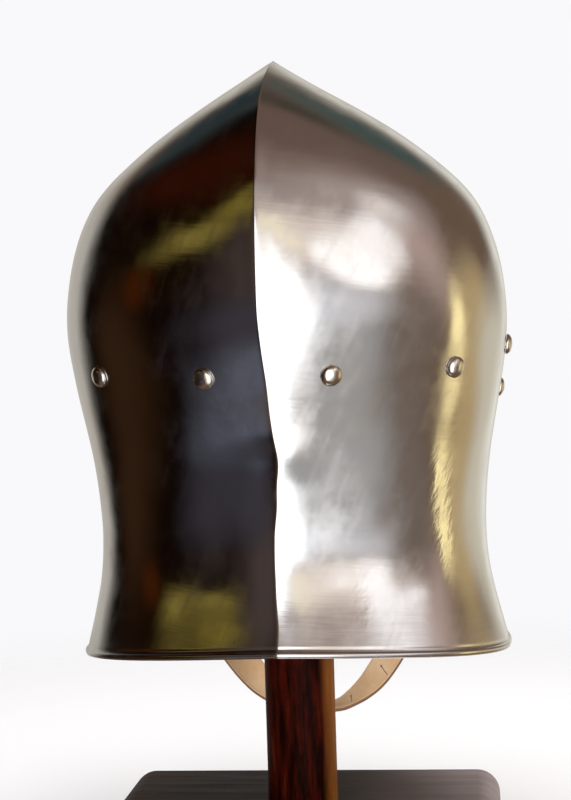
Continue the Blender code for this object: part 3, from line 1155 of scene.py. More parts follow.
@dataclass
class Skull:
    """The steel skull: a hammered sheet with turned edges, the face opening and the rivet holes."""

    form: SkullForm
    columns: int = 240
    keel_crowding: float = 0.3  # how much closer the columns stand at the keels
    keel_calm: float = 3 * MM  # beside the keels the hammer's unevenness only goes in and out
    foot_rows: int = 12  # close rows beside the lower edge
    foot_step: float = 0.02  # levels between them
    sheet: float = 2.0 * MM
    edge_radius: float = 1.5 * MM
    edge_sides: int = 14
    edge_step: float = 2.5 * MM
    arc_steps: int = 10
    groove_height: float = 3.9 * MM  # of the groove over the turned lower edge
    groove_half: float = 0.9 * MM
    groove_depth: float = 0.30 * MM
    wave_depth: float = 0.30 * MM  # broad unevenness from the hammer
    wave_scale: float = 34.0
    ripple_depth: float = 0.05 * MM
    ripple_scale: float = 95.0
    ripple_start: Colour = (7.0, 3.0, 1.0)
    foot_calm: float = 12 * MM  # height over which the unevenness comes in
    foot_share: float = 0.25  # how much of it the lower edge has
    crown_calm: float = 15 * MM
    sharp: float = 50.0  # degrees from which an edge is sharp
    outside_y: float = -0.5  # in front of the face
    cut_y: tuple[float, float] = (-0.18, -0.04)  # from before the face to inside the skull
    hole_radius: float = 2.1 * MM
    hole_sides: int = 24
    first_level: float = 0.5  # of the highest ring
    inner_step: float = 0.25  # levels between two rings of the inner face
    outer: np.ndarray = field(init=False)
    tree: BVHTree = field(init=False)

    def __post_init__(self) -> None:
        """Work out the hammered outer face, which everything else is set on."""
        self.outer = self.outer_points()
        bm = bmesh.new()
        bridge(bm, self.outer.tolist())
        bm.normal_update()
        self.tree = BVHTree.FromBMesh(bm)
        bm.free()

    def turns(self) -> np.ndarray:
        """Return the angles of the columns, which crowd together at the two keels."""
        even = np.arange(self.columns) / self.columns * 2 * math.pi
        return even - self.keel_crowding / 2 * np.sin(2 * even)

    def levels(self) -> np.ndarray:
        """Return the levels of the rows, which crowd together at the lower edge.

        Returns:
            The levels, from the highest ring.
        """
        even = np.arange(self.first_level, LAST, 1 / self.form.steps)
        close = LAST - np.arange(self.foot_rows, -1, -1) * self.foot_step
        return np.concatenate([even[even < close[0] - self.foot_step], close])

    def outward(self, points: np.ndarray) -> np.ndarray:
        """Return the outward direction at each point of a grid, which stays calm at the keel.

        Args:
            points: The grid of points.

        Returns:
            The directions.
        """
        across = np.roll(points, -1, axis=1) - np.roll(points, 1, axis=1)
        down = np.gradient(points, axis=0)
        normals = np.cross(across, down)
        normals /= np.linalg.norm(normals, axis=-1, keepdims=True) + 1e-12
        normals[..., 0] *= np.clip(np.abs(points[..., 0]) / self.keel_calm, 0.0, 1.0)
        return normals

    def tucked_in(self, points: np.ndarray) -> np.ndarray:
        """Return how far the sheet lies in at each point of a grid.

        Args:
            points: The grid of points.

        Returns:
            The depths in metres.
        """
        above = (points[..., 2] - points[-1:, :, 2]) / MM
        run_out = ease((points[..., 1] / MM - TUCK_END[0]) / (TUCK_END[1] - TUCK_END[0]))
        depth = np.zeros(points.shape[:2])
        for tuck in TUCKS:
            turned_in = ease((points[..., 0] / MM - tuck.start) / (tuck.end - tuck.start))
            away = (above - tuck.height) / tuck.reach
            depth += tuck.depth * MM * turned_in * run_out * np.exp(-(away**2))
        return depth

    def hammered(self, points: np.ndarray) -> np.ndarray:
        """Return the points with the hammer's unevenness, its marks and the groove at the foot.

        Args:
            points: The smooth grid of points.

        Returns:
            The grid of hammered points.
        """
        normals = self.outward(points)
        above = points[..., 2] - points[-1:, :, 2]
        push = np.zeros(points.shape[:2])
        for row in range(points.shape[0]):
            for column in range(points.shape[1]):
                place = Vector(points[row, column])
                broad = noise.noise(place * self.wave_scale)
                fine = noise.noise(place * self.ripple_scale + Vector(self.ripple_start))
                push[row, column] = broad * self.wave_depth + fine * self.ripple_depth
        calm = np.clip(above / self.foot_calm, 0.0, 1.0)
        below = points[:1, :, 2].max() - points[..., 2]
        push *= self.foot_share + (1 - self.foot_share) * calm
        push *= np.clip(below / self.crown_calm, 0.0, 1.0)
        at_back = points[..., 1] > 0
        for dent in DENTS:
            side = points[..., 0] - dent.x * MM
            rise = above - dent.height * MM
            away = np.hypot(side, rise) / (dent.radius * MM)
            push -= np.where(at_back, dent.depth * MM * np.exp(-(away**2)), 0.0)
        push -= self.tucked_in(points)
        groove = 1 - np.abs(above - self.groove_height) / self.groove_half
        push -= self.groove_depth * ease(groove)
        return points + normals * push[..., None]

    def cover(self, bm: bmesh.types.BMesh, points: np.ndarray, crown: Vector, slot: int) -> list[Any]:
        """Add a closed dome over rings of points.

        Args:
            bm: The mesh being built.
            points: The rings, from the top.
            crown: The point over them.
            slot: Material slot of the faces.

        Returns:
            The lowest ring of vertices.
        """
        start = len(bm.faces)
        made = bridge(bm, points.tolist())
        top = bm.verts.new(crown)
        for i in range(self.columns):
            bm.faces.new((top, made[0][(i + 1) % self.columns], made[0][i]))
        bm.faces.ensure_lookup_table()
        for face in bm.faces[start:]:
            face.material_index = slot
        return made[-1]

    def outer_points(self) -> np.ndarray:
        """Return the hammered points of the outer face."""
        return self.hammered(self.form.grid(self.levels(), self.turns()))

    def shell(self) -> bmesh.types.BMesh:
        """Build the steel sheet, closed at its lower edge, without the face opening.

        Returns:
            The mesh.
        """
        bm = bmesh.new()
        outer = self.cover(bm, self.outer, self.form.point(0.0, 0.0), 0)
        inner_form = self.form.inner(self.sheet)
        steps = np.arange(self.first_level, LAST + 0.01, self.inner_step)
        hollow = inner_form.grid(steps, self.turns())
        hollow = hollow - self.outward(hollow) * self.tucked_in(hollow)[..., None]
        inner = self.cover(bm, hollow, inner_form.point(0.0, 0.0), 1)
        for i in range(self.columns):
            j = (i + 1) % self.columns
            bm.faces.new((outer[i], outer[j], inner[j], inner[i]))
        bmesh.ops.recalc_face_normals(bm, faces=bm.faces)
        return bm

    def face_outline(self) -> list[Vector]:
        """Return the outline of the face opening as (x, z), from foot to foot.

        Returns:
            The corners and the points of the round stretches.
        """
        half = []
        for i, corner in enumerate(FACE_CORNERS):
            here = Vector((corner.x, corner.z))
            if not corner.radius:
                half.append(here)
                continue
            toward = (Vector(FACE_CORNERS[i - 1][:2]) - here).normalized()
            away = (Vector(FACE_CORNERS[i + 1][:2]) - here).normalized()
            opening = toward.angle(away) / 2
            centre = here + (toward + away).normalized() * corner.radius / math.sin(opening)
            start = here + toward * corner.radius / math.tan(opening) - centre
            end = here + away * corner.radius / math.tan(opening) - centre
            for step in range(self.arc_steps + 1):
                spoke = start.slerp(end, step / self.arc_steps).normalized()
                half.append(centre + spoke * corner.radius)
        other = [Vector((-point.x, point.y)) for point in half[-2::-1]]
        base = self.form.rim_height
        return [Vector((point.x * MM, base + point.y * MM)) for point in half + other]

    def face_edge(self, outline: Sequence[Vector]) -> list[Vector]:
        """Lay the outline of the face opening on the middle of the sheet.

        Args:
            outline: The outline as (x, z).

        Returns:
            Points of the turned edge's middle.
        """
        foot = self.form.rim_height + self.edge_radius
        line = [Vector((outline[0].x, foot))]
        line += [point for point in outline if point.y > foot]
        line += [Vector((outline[-1].x, foot))]
        points = []
        for start, end in zip(line, line[1:]):
            pieces = math.ceil((end - start).length / self.edge_step)
            points += [start.lerp(end, i / pieces) for i in range(pieces)]
        points.append(line[-1])
        edge = []
        for point in points:
            start = Vector((point.x, self.outside_y, point.y))
            place, normal, _, _ = self.tree.ray_cast(start, Vector((0, 1, 0)))
            edge.append(place - normal * self.sheet / 2)
        return edge

    def face_cutter(self, outline: Sequence[Vector]) -> bpy.types.Object:
        """Extrude the outline from in front of the skull to inside it.

        Args:
            outline: The outline as (x, z).

        Returns:
            The block that cuts the face opening.
        """
        bm = bmesh.new()
        made = bridge(bm, [[(point.x, y, point.y) for point in outline] for y in self.cut_y])
        bm.faces.new(made[0])
        bm.faces.new(made[1])
        bmesh.ops.recalc_face_normals(bm, faces=bm.faces)
        return piece("face_cutter", bm, [])

    def drills(self, frames: Sequence[Matrix]) -> bpy.types.Object:
        """Make one drill for each rivet hole.

        Args:
            frames: Places of the rivets.

        Returns:
            All drills, as one object.
        """
        bm = bmesh.new()
        for place in frames:
            bmesh.ops.create_cone(
                bm,
                cap_ends=True,
                segments=self.hole_sides,
                radius1=self.hole_radius,
                radius2=self.hole_radius,
                depth=4 * self.sheet,
                matrix=place @ Matrix.Translation((0, 0, -self.sheet / 2)),
            )
        return piece("rivet_drills", bm, [])

    def build(self, frames: Sequence[Matrix]) -> bpy.types.Object:
        """Build the skull.

        Args:
            frames: Places of the rivets.

        Returns:
            The finished skull.
        """
        steel = [POLISHED_STEEL.make(), INNER_STEEL.make()]
        skull = piece("steel_skull", self.shell(), steel, self.sharp)
        outline = self.face_outline()
        edge = self.face_edge(outline)
        cut(skull, self.face_cutter(outline))
        cut(skull, self.drills(frames))
        bm = bmesh.new()
        bm.from_mesh(skull.data)
        middle = self.sheet / 2
        foot = []
        lowest = [Vector(point) for point in self.outer[-1]]
        for i, point in enumerate(lowest):
            around = (lowest[(i + 1) % self.columns] - lowest[i - 1]).normalized()
            inward = around.cross(Vector((0, 0, 1)))
            foot.append(point + inward.normalized() * middle + Vector((0, 0, self.edge_radius)))
        sweep(bm, foot, self.edge_radius, self.edge_sides, closed=True)
        sweep(bm, edge, self.edge_radius, self.edge_sides, closed=False)
        bm.to_mesh(skull.data)
        bm.free()
        skull.data.shade_smooth()
        skull.data.set_sharp_from_angle(angle=math.radians(self.sharp))
        finish_piece(skull, "skull_steel", "skull")
        return skull


# ------------------------------------------------------------------ rivets


class RivetPlace(NamedTuple):
    """A pair of rivets: degrees round from the back keel, and millimetres above the lower edge."""

    turn: float
    height: float


LINING_RIVETS = [
    #          turn  height
    RivetPlace(25.0, 137.0),
    RivetPlace(53.5, 138.5),
    RivetPlace(90.0, 148.0),
    RivetPlace(124.0, 158.0),
    RivetPlace(155.0, 167.0),
]
STRAP_RIVET = RivetPlace(100.5, 126.5)

# shares of the radius and height, from the dome down to its seat, and from the tail's seat to its end
HEAD_RIM = ((0.985, 0.04), (0.93, 0.0))
TAIL = ((0.94, 0.0), (1.0, 0.3), (0.86, 0.85), (0.5, 1.0), (0.0, 1.0))


class Side(Enum):
    """The wearer's left and right."""

    LEFT = 1
    RIGHT = -1


@dataclass
class Rivet:
    """One domed rivet, set through the sheet and peened inside."""

    name: str
    node: str
    place: Matrix
    grip: float  # thickness of what it holds
    head_radius: float = 5.0 * MM
    head_height: float = 3.0 * MM
    shank_radius: float = 1.8 * MM
    tail_radius: float = 3.2 * MM
    tail_height: float = 1.0 * MM
    seat: float = 0.15 * MM
    tail_seat: float = 0.6 * MM
    brow: float = 0.12  # share of the head's height that stands straight
    flat_depth: float = 0.14 * MM  # of the hammer's flats on the head
    flat_scale: float = 420.0
    flat_start: float = 90.0
    dome_foot: float = 0.1 * MM  # above the seat
    sides: int = 40
    dome_rings: int = 12

    def profile(self) -> Profile:
        """Return the profile of the rivet, from the top of its head to its tail.

        Returns:
            The profile as (radius, height).
        """
        points = [(0.0, self.seat + self.head_height)]
        for i in range(1, self.dome_rings + 1):
            angle = math.pi / 2 * i / self.dome_rings
            rise = self.brow + (1 - self.brow) * math.cos(angle)
            points.append((self.head_radius * math.sin(angle), self.seat + self.head_height * rise))
        points += [(self.head_radius * out, self.seat + self.head_height * up) for out, up in HEAD_RIM]
        foot = -self.grip - self.tail_seat
        points += [(self.shank_radius, self.seat), (self.shank_radius, foot)]
        points += [(self.tail_radius * out, foot - self.tail_height * down) for out, down in TAIL]
        return points

    def build(self, material: bpy.types.Material) -> None:
        """Build the rivet with the hammer's small flats on its head.

        Args:
            material: Its steel.
        """
        bm = turned(self.profile(), self.sides)
        origin = self.place.translation
        for vertex in bm.verts:
            if vertex.co.z > self.seat + self.dome_foot:
                flats = noise.noise(vertex.co * self.flat_scale + origin * self.flat_start)
                vertex.co += vertex.co.normalized() * flats * self.flat_depth
        bm.transform(self.place)
        item = piece(self.name, bm, [material], sharp=45.0)
        finish_piece(item, "rivet_steel", self.node)


# ------------------------------------------------------------------ chin strap


class StrapRow(NamedTuple):
    """One point of half of the strap's route, in millimetres from the axis and the lower edge."""

    x: float
    y: float
    z: float
    splay: float  # degrees by which the rear edge swings outward


STRAP_TAB_HEIGHTS = (138.0, 126.5, 116.0)
STRAP_ROUTE = [
    #        x     y      z      splay
    StrapRow(90.5, -30.0, 92.0, 8.0),
    StrapRow(82.0, -45.0, 62.0, 20.0),
    StrapRow(68.0, -61.0, 30.0, 35.0),
    StrapRow(50.0, -76.0, -5.0, 45.0),
    StrapRow(32.5, -87.0, -33.0, 42.0),
    StrapRow(15.5, -91.0, -47.5, 24.0),
    StrapRow(0.0, -92.0, -52.0, 0.0),
]


@dataclass
class ChinStrap:
    """The leather band that hangs from cheek to cheek, hidden stretch and all."""

    skull: Skull
    width: float = 18 * MM
    thickness: float = 2.5 * MM
    clearance: float = 0.8 * MM
    rows_per_span: int = 14
    corner_radius: float = 0.7 * MM
    corner_steps: int = 3
    face_steps: int = 8
    unevenness: float = 0.22 * MM
    edge_waves: float = 85.0  # repeats per metre
    face_waves: float = 50.0
    face_start: Colour = (3.0, 5.0, 9.0)
    marks: tuple[float, ...] = (21 * MM, 47 * MM)  # of the scored lines, from the strap's middle

    def seat(self, height: float) -> tuple[Vector, Vector]:
        """Return the spot on the steel above or below the strap's rivet, and its outward direction.

        Args:
            height: The height above the lower edge, in metres.

        Returns:
            The spot and the direction.
        """
        form, turn = self.skull.form, math.radians(STRAP_RIVET.turn)
        level = form.level_at(turn, height)
        return form.point(level, turn), form.normal(level, turn)

    def route(self) -> Route:
        """Return the strap's middle and its direction across, from the left cheek to the right.

        Returns:
            A point and a direction for each row.
        """
        rows = []
        base = self.skull.form.rim_height
        inset = self.skull.sheet + self.clearance + self.thickness / 2
        for height in STRAP_TAB_HEIGHTS:
            spot, normal = self.seat(height * MM)
            point = (spot - normal * inset) / MM
            splay = math.degrees(math.atan2(-normal.y, normal.x))
            rows.append(StrapRow(point.x, point.y, point.z - base / MM, splay))
        rows += STRAP_ROUTE
        half = []
        for i in range((len(rows) - 1) * self.rows_per_span + 1):
            row = smooth_row(rows, i / self.rows_per_span)
            splay = math.radians(row.splay)
            point = Vector((row.x * MM, row.y * MM, base + row.z * MM))
            half.append((point, Vector((math.sin(splay), math.cos(splay), 0))))
        flip = Vector((-1, 1, 1))
        return half + [(point * flip, across * flip) for point, across in half[-2::-1]]

    def outline(self) -> Profile:
        """Return the cross-section as (across, up), starting at the middle of the inner face.

        Returns:
            The corners of the cross-section.
        """
        half, thick, radius = self.width / 2, self.thickness / 2, self.corner_radius
        quarter = [(half * i / self.face_steps, thick) for i in range(self.face_steps)]
        for step in range(self.corner_steps + 1):
            angle = math.pi / 2 * step / self.corner_steps
            out, up = radius * math.sin(angle), radius * math.cos(angle)
            quarter.append((half - radius + out, thick - radius + up))
        right = quarter + [(x, -z) for x, z in quarter[::-1]]
        return right + [(-x, z) for x, z in right[-2:0:-1]]

    def rings(self, line: Route, section: Profile) -> list[list[Vector]]:
        """Lay the cross-section along the route, with the leather's unevenness.

        Args:
            line: The route.
            section: The cross-section.

        Returns:
            A ring of points for each point of the route.
        """
        rings = []
        for i, (point, across) in enumerate(line):
            tangent = (line[min(i + 1, len(line) - 1)][0] - line[max(i - 1, 0)][0]).normalized()
            wide = (across - tangent * across.dot(tangent)).normalized()
            up = tangent.cross(wide).normalized()
            if up.z < 0:
                up = -up
            ring = []
            for x, z in section:
                spot = point + wide * x + up * z
                edge = abs(x) / (self.width / 2)
                shift = noise.noise(spot * self.edge_waves) * self.unevenness * edge**3
                lift = noise.noise(spot * self.face_waves + Vector(self.face_start)) * self.unevenness / 2
                ring.append(spot + wide * math.copysign(shift, x) + up * lift)
            rings.append(ring)
        return rings

    def build(self) -> None:
        """Build the strap and the map that its leather reads."""
        line, section = self.route(), self.outline()
        lengths = [0.0]
        for (before, _), (after, _) in zip(line, line[1:]):
            lengths.append(lengths[-1] + (after - before).length)
        middle = lengths[len(line) // 2]
        round_it = [0.0]
        for before, after in zip(section, section[1:] + section[:1]):
            round_it.append(round_it[-1] + math.hypot(after[0] - before[0], after[1] - before[1]))
        whole = round_it.pop()

        bm = bmesh.new()
        uv = bm.loops.layers.uv.new("strap")
        made = bridge(bm, self.rings(line, section))
        bm.faces.new(made[0])
        bm.faces.new(made[-1])
        bmesh.ops.recalc_face_normals(bm, faces=bm.faces)
        for length, ring in zip(lengths, made):
            for distance, vertex in zip(round_it, ring):
                side = distance if distance <= whole / 2 else distance - whole
                for loop in vertex.link_loops:
                    loop[uv].uv = (length - middle, side)
        finish = LeatherFinish(
            name="strap_leather",
            colour=(0.68, 0.44, 0.25),
            pale=(0.76, 0.55, 0.36),
            brown=(0.44, 0.24, 0.12),
            cut=(0.12, 0.06, 0.035),
            half_width=self.width / 2,
            thickness=self.thickness,
            marks=self.marks,
        )
        strap = piece("leather_chin_strap", bm, [finish.make()], sharp=50.0)
        finish_piece(strap, "strap_leather", "chin_strap")


# ------------------------------------------------------------------ stand


@dataclass
class Stand:
    """The turned post and the rounded board."""

    post_sides: int = 96
    dome_rings: int = 16
    post_row: float = 5 * MM
    post_unevenness: float = 0.12 * MM
    post_waves: Colour = (60.0, 60.0, 12.0)  # repeats per metre
    post_bevel: float = 0.4 * MM
    rounding: float = 12 * MM
    rounding_steps: int = 10

    def build_post(self) -> None:
        """Turn the post, whose domed head carries the crown."""
        low, high = (Vector(corner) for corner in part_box("stand_post"))
        radius = (high.x - low.x) / 2
        profile = [(0.0, high.z)]
        for i in range(1, self.dome_rings + 1):
            angle = math.pi / 2 * i / self.dome_rings
            profile.append((radius * math.sin(angle), high.z - radius * (1 - math.cos(angle))))
        straight = high.z - radius - low.z
        count = math.ceil(straight / self.post_row)
        for i in range(1, count):
            profile.append((radius, high.z - radius - straight * i / count))
        profile += [(radius, low.z + self.post_bevel), (radius - self.post_bevel, low.z), (0.0, low.z)]
        bm = turned(profile, self.post_sides)
        for vertex in bm.verts:
            if vertex.co.z > low.z + 2 * self.post_bevel:
                side = Vector((vertex.co.x, vertex.co.y, 0))
                waves = abs(noise.noise(vertex.co * Vector(self.post_waves)))
                vertex.co -= side.normalized() * waves * self.post_unevenness
        post = piece("wooden_post", bm, [POST_WOOD.make()], sharp=35.0)
        finish_piece(post, "post_wood", "stand_post")

    def build_board(self) -> None:
        """Make the board with its rounded upper edges."""
        low, high = (Vector(corner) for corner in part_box("stand_base"))
        size, middle = high - low, (high + low) / 2
        bm = bmesh.new()
        frame_of = Matrix.Translation(middle) @ Matrix.Diagonal((*size, 1.0))
        bmesh.ops.create_cube(bm, size=1.0, matrix=frame_of)
        upper = [edge for edge in bm.edges if any(vertex.co.z > middle.z for vertex in edge.verts)]
        bmesh.ops.bevel(
            bm,
            geom=upper,
            offset=self.rounding,
            segments=self.rounding_steps,
            profile=0.5,
            affect="EDGES",
        )
        board = piece("wooden_board", bm, [BOARD_WOOD.make()], sharp=35.0)
        finish_piece(board, "board_wood", "stand_base")


# ------------------------------------------------------------------ studio


class Panel(NamedTuple):
    """A soft panel, wall or dark cloth round the studio, seen from the helmet.

    Bearings are degrees round from the back of the helmet towards the wearer's right, and heights
    are degrees above the horizon.
    """

    bearing: float
    height: float
    half_width: float
    half_height: float
    softness: float  # share of the size over which the edge fades
    corners: float  # 2 is oval, 4 nearly square
    colour: Colour
    power: float = 1.0


PANELS = {
    #                   bearing height half_width half_height softness corners colour power
    "ceiling": Panel(92, 60, 80, 22, 0.45, 2, tone(98, 80, 71)),
    "ceiling_foot": Panel(74, 45, 26, 6, 0.8, 2, tone(120, 103, 95)),
    "warm_wall": Panel(76, 14, 15, 21, 0.8, 2, tone(176, 152, 142)),
    "dark_corner": Panel(141, 55, 14, 8, 0.8, 2, tone(64, 58, 50)),
    "warm_cornice": Panel(69, 33, 28, 9, 0.5, 3, tone(150, 135, 130)),
    "lintel": Panel(20, 28, 26, 8, 0.4, 3, tone(160, 148, 143)),
    "grey_wall": Panel(49, -24, 19, 32, 0.4, 4, tone(156, 154, 152)),
    "brown_door": Panel(73, -18, 11, 28, 0.8, 2, tone(106, 93, 84)),
    "wall_glow": Panel(49, -8, 11, 8, 0.9, 2, tone(202, 200, 203)),
    "dim_curtain": Panel(110, -10, 20, 22, 0.4, 2, tone(172, 149, 108)),
    "pale_wall": Panel(138, -10, 22, 14, 0.6, 2, tone(190, 182, 163)),
    "gold_curtain": Panel(95, -13, 5, 17, 0.5, 3, tone(246, 226, 166), 1.15),
    "far_wall": Panel(180, 2, 27, 27, 0.5, 4, tone(212, 210, 200)),
    "far_teal_right": Panel(150, 40, 16, 8, 0.8, 2, tone(58, 74, 71)),
    "high_window": Panel(75, 29, 9, 5.5, 0.8, 2, tone(222, 212, 206)),
    "window_frame": Panel(50, 13, 17, 11, 0.4, 3, tone(216, 202, 192)),
    "amber_lamp": Panel(40, 16, 4.5, 5, 0.8, 2, tone(252, 240, 210)),
    "side_window": Panel(56, 9.5, 8, 7.5, 0.4, 3, tone(255, 252, 251), 1.2),
    "side_window_head": Panel(65, 18, 9, 8, 0.5, 2, tone(250, 246, 245), 1.1),
    "window": Panel(14, -19, 22, 40, 0.12, 4, tone(255, 255, 255), 1.5),
    "window_side": Panel(28, -25, 16, 29, 0.15, 4, tone(255, 255, 255), 1.5),
    "dark_room": Panel(-78, 10, 55, 60, 0.16, 4, tone(12, 5, 2)),
    "left_wall": Panel(-156, 2, 34, 22, 0.3, 4, tone(168, 163, 154)),
    "far_teal_left": Panel(-144, 40, 22, 10, 0.7, 2, tone(34, 46, 49)),
    "red_brown_beam": Panel(-88, 36, 26, 9, 0.8, 2, tone(42, 13, 4)),
    "grey_curtain": Panel(-42, 6, 15, 26, 0.6, 2, tone(66, 55, 52)),
    "low_curtain": Panel(-52, -21, 12, 13, 0.7, 2, tone(54, 51, 57)),
    "left_door": Panel(-92, -18, 12, 22, 0.8, 2, tone(46, 28, 15)),
    "ember": Panel(-80, 4, 4, 6, 0.9, 2, tone(62, 24, 2)),
    "blue_cloth": Panel(-56, -41, 10, 9, 0.9, 2, tone(86, 89, 100)),
    "olive_cloth": Panel(-68, 15.5, 9, 4.2, 0.7, 2, tone(118, 104, 48)),
    "olive_cloth_head": Panel(-60, 24, 7, 4.5, 0.6, 2, tone(110, 96, 40)),
}
WALLS = tone(98, 80, 66)  # between the panels


class LowLight(NamedTuple):
    """A soft lamp beside the camera, which the steel doesn't mirror."""

    name: str
    bearing: float  # degrees towards the wearer's right
    height: float  # degrees above the horizon
    power: float


LOW_LIGHTS = [
    #         name         bearing height power
    LowLight("key_light", 40.0, 2.0, 9.0),
    LowLight("fill_light", -58.0, -6.0, 11.0),
]


@dataclass
class Studio:
    """The floor, the soft surround, the lamps and the camera."""

    surround_power: float = 1.45
    backdrop: Colour = tone(249, 248, 250)
    floor_radius: float = 0.8
    floor_fade: float = 0.25  # from here outward the floor melts into the backdrop
    floor_tone: Colour = (0.80, 0.81, 0.83)
    floor_mottle: float = 0.985  # darkest share of the tone
    floor_clouds: Texture = Texture(even(3.0), 2.0, 0.5)
    floor_sides: int = 64
    top_height: float = 1.2
    top_size: float = 1.6
    top_power: float = 23.0
    low_distance: float = 1.1
    low_size: float = 0.4
    low_colour: Colour = (1.0, 0.97, 0.93)
    camera_distance: float = 0.9
    camera_bearing: float = 6.0
    camera_above_rim: float = 154 * MM
    camera_pitch: float = 1.973  # degrees down
    camera_roll: float = 1.7
    lens: float = 54.0
    sensor_height: float = 24.0
    shift: float = -0.0075

    def direction(self, bearing: float, height: float) -> Vector:
        """Return the direction of a bearing and height, in degrees."""
        turn, up = math.radians(bearing), math.radians(height)
        return Vector((-math.sin(turn) * math.cos(up), math.cos(turn) * math.cos(up), math.sin(up)))

    def build_surround(self) -> None:
        """Hang the soft panels round the helmet. The camera sees a plain pale backdrop instead."""
        world = bpy.data.worlds.new("studio")
        bpy.context.scene.world = world
        world.use_nodes = True
        tree = Tree(world.node_tree)
        place = tree.add("ShaderNodeTexCoord").outputs["Generated"]
        x, y, z = tree.axes(place)
        degrees = math.degrees(1)
        bearing = tree.times(tree.maths(Sum.ARC_TANGENT, tree.times(x, -1.0), y), degrees)
        height = tree.times(tree.maths(Sum.ARC_SINE, z), degrees)
        colour: Any = WALLS
        for panel in PANELS.values():
            side = tree.maths(Sum.WRAP, tree.less(bearing, panel.bearing), 180.0, -180.0)
            side = tree.maths(Sum.DIVIDE, side, panel.half_width)
            rise = tree.maths(Sum.DIVIDE, tree.less(height, panel.height), panel.half_height)
            shares = [tree.maths(Sum.SIZE, part) for part in (side, rise)]
            powers = [tree.maths(Sum.POWER, share, panel.corners) for share in shares]
            away = tree.maths(Sum.POWER, tree.plus(*powers), 1 / panel.corners)
            share = tree.spread(away, 1 - panel.softness, 1 + panel.softness, 1.0, 0.0)
            glow = tuple(part * panel.power for part in panel.colour)
            colour = tree.layer(share, colour, glow)
        lit = tree.add("ShaderNodeBackground")
        tree.feed(lit.inputs["Color"], colour)
        lit.inputs["Strength"].default_value = self.surround_power
        plain = tree.add("ShaderNodeBackground")
        tree.feed(plain.inputs["Color"], self.backdrop)
        seen = tree.add("ShaderNodeLightPath").outputs["Is Camera Ray"]
        mixed = tree.add("ShaderNodeMixShader")
        tree.feed(mixed.inputs[0], seen)
        tree.feed(mixed.inputs[1], lit.outputs["Background"])
        tree.feed(mixed.inputs[2], plain.outputs["Background"])
        output = tree.add("ShaderNodeOutputWorld")
        tree.feed(output.inputs["Surface"], mixed.outputs["Shader"])

    def build_floor(self) -> None:
        """Lay the pale floor, a disc that melts into the backdrop."""
        material, tree, shader = surface("pale_floor")
        place = tree.object_place()
        dark = tuple(part * self.floor_mottle for part in self.floor_tone)
        mottled = tree.layer(tree.cloud(place, self.floor_clouds), dark, self.floor_tone)
        tree.feed(shader.inputs["Base Color"], mottled)
        shader.inputs["Roughness"].default_value = 0.9
        shader.inputs["Specular IOR Level"].default_value = 0.0
        away = tree.places(PlaceSum.LENGTH, place).outputs["Value"]
        shown = tree.spread(away, self.floor_fade, self.floor_radius, 1.0, 0.0)
        tree.feed(shader.inputs["Alpha"], shown)
        bm = bmesh.new()
        bmesh.ops.create_circle(bm, cap_ends=True, segments=self.floor_sides, radius=self.floor_radius)
        floor = piece("pale_floor", bm, [material])
        floor.visible_glossy = False

    def hang(self, name: str, place: Matrix, size: float, power: float, colour: Colour) -> None:
        """Hang a round soft lamp, which the steel doesn't mirror.

        Args:
            name: The lamp's name.
            place: Its place and direction.
            size: Its width.
            power: Its watts.
            colour: Its colour.
        """
        lamp = bpy.data.lights.new(name, "AREA")
        lamp.shape = "DISK"
        lamp.size = size
        lamp.energy = power
        lamp.color = colour
        light = bpy.data.objects.new(name, lamp)
        bpy.context.scene.collection.objects.link(light)
        light.matrix_world = place
        light.visible_glossy = False

    def build_lamps(self, target: Vector) -> None:
        """Hang the low lamps, for the strap and the stand, and a large one overhead.

        Args:
            target: The place that the low lamps point at.
        """
        for row in LOW_LIGHTS:
            away = self.direction(row.bearing, row.height)
            turn = away.to_track_quat("Z", "Y").to_matrix().to_4x4()
            place = Matrix.Translation(target + away * self.low_distance) @ turn
            self.hang(row.name, place, self.low_size, row.power, self.low_colour)
        overhead = Matrix.Translation((0, 0, self.top_height))
        self.hang("top_light", overhead, self.top_size, self.top_power, even(1.0))

    def build_camera(self, rim_height: float) -> None:
        """Set up the camera behind the helmet.

        Args:
            rim_height: Height of the skull's lower edge.
        """
        data = bpy.data.cameras.new("camera")
        data.sensor_fit = "VERTICAL"
        data.sensor_height = self.sensor_height
        data.lens = self.lens
        data.shift_x = self.shift
        camera = bpy.data.objects.new("camera", data)
        bpy.context.scene.collection.objects.link(camera)
        away = self.direction(self.camera_bearing, 0.0)
        place = away * self.camera_distance + Vector((0, 0, rim_height + self.camera_above_rim))
        pitch, roll = math.radians(self.camera_pitch), math.radians(self.camera_roll)
        ahead = -away * math.cos(pitch) - Vector((0, 0, 1)) * math.sin(pitch)
        right = ahead.cross(Vector((0, 0, 1))).normalized()
        up = right.cross(ahead)
        level = Matrix((right, up, -ahead)).transposed().to_4x4()
        columns = level @ Matrix.Rotation(-roll, 4, "Z")
        camera.matrix_world = Matrix.Translation(place) @ columns
        bpy.context.scene.camera = camera

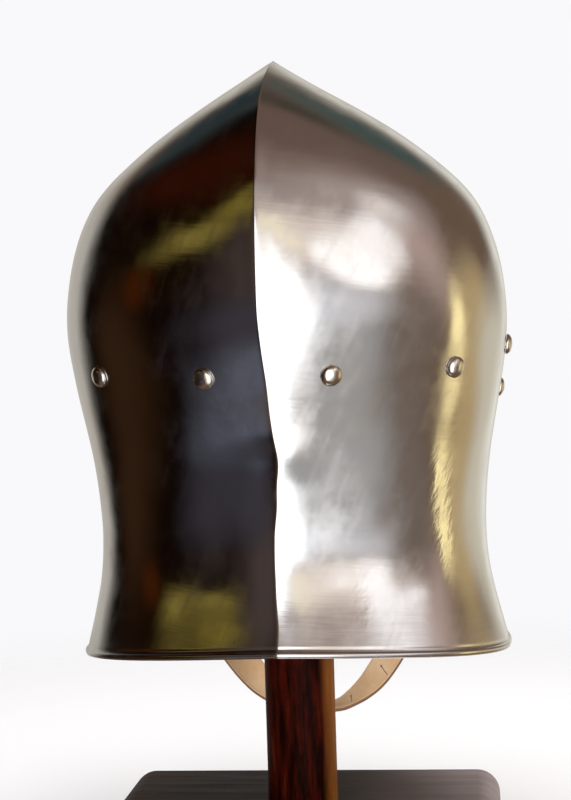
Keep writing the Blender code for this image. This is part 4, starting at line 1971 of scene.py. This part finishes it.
    def build(self, rim_height: float) -> None:
        """Build the whole studio.

        Args:
            rim_height: Height of the skull's lower edge.
        """
        self.build_surround()
        self.build_floor()
        self.build_lamps(Vector((0, 0, rim_height)))
        self.build_camera(rim_height)
        bpy.context.scene.view_settings.view_transform = "Standard"


# ------------------------------------------------------------------ whole


def rivet_frame(skull: Skull, place: RivetPlace, side: Side) -> Matrix:
    """Return the matrix that puts a rivet on the skull, its axis pointing out.

    Args:
        skull: The skull.
        place: The rivet's place.
        side: The wearer's side.

    Returns:
        The matrix.
    """
    turn = side.value * math.radians(place.turn)
    level = skull.form.level_at(turn, place.height * MM)
    spot = skull.tree.find_nearest(skull.form.point(level, turn))[0]
    normal = skull.form.normal(level, turn)
    return Matrix.Translation(spot) @ normal.to_track_quat("Z", "Y").to_matrix().to_4x4()


def rivet_rows(skull: Skull, strap: ChinStrap) -> list[Rivet]:
    """Return the rivets of both sides, each with its place and grip.

    Args:
        skull: The skull that all of them go through.
        strap: The strap that the last one of each side holds.

    Returns:
        The rivets.
    """
    rivets = []
    strap_grip = skull.sheet + strap.clearance + strap.thickness
    for side in Side:
        word = side.name.lower()
        for number, place in enumerate(LINING_RIVETS, start=1):
            spot, name = rivet_frame(skull, place, side), f"rivet_{word}_{number}"
            rivets.append(Rivet(f"domed_{name}", f"lining_{name}", spot, skull.sheet))
        spot, name = rivet_frame(skull, STRAP_RIVET, side), f"strap_rivet_{word}"
        rivets.append(Rivet(f"domed_{name}", name, spot, strap_grip))
    return rivets


def main() -> None:
    """Build every piece, then the studio, and report each."""
    logging.basicConfig(level=logging.INFO, format="%(name)s: %(message)s")
    rim_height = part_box("skull")[1][2] - SECTIONS[0].side_z * MM
    skull = Skull(SkullForm(rim_height))
    strap = ChinStrap(skull)
    rivets = rivet_rows(skull, strap)
    skull.build([rivet.place for rivet in rivets])
    rivet_steel = RIVET_STEEL.make()
    for rivet in rivets:
        rivet.build(rivet_steel)
    strap.build()
    stand = Stand()
    stand.build_post()
    stand.build_board()
    Studio().build(rim_height)


if __name__ == "__main__":
    main()
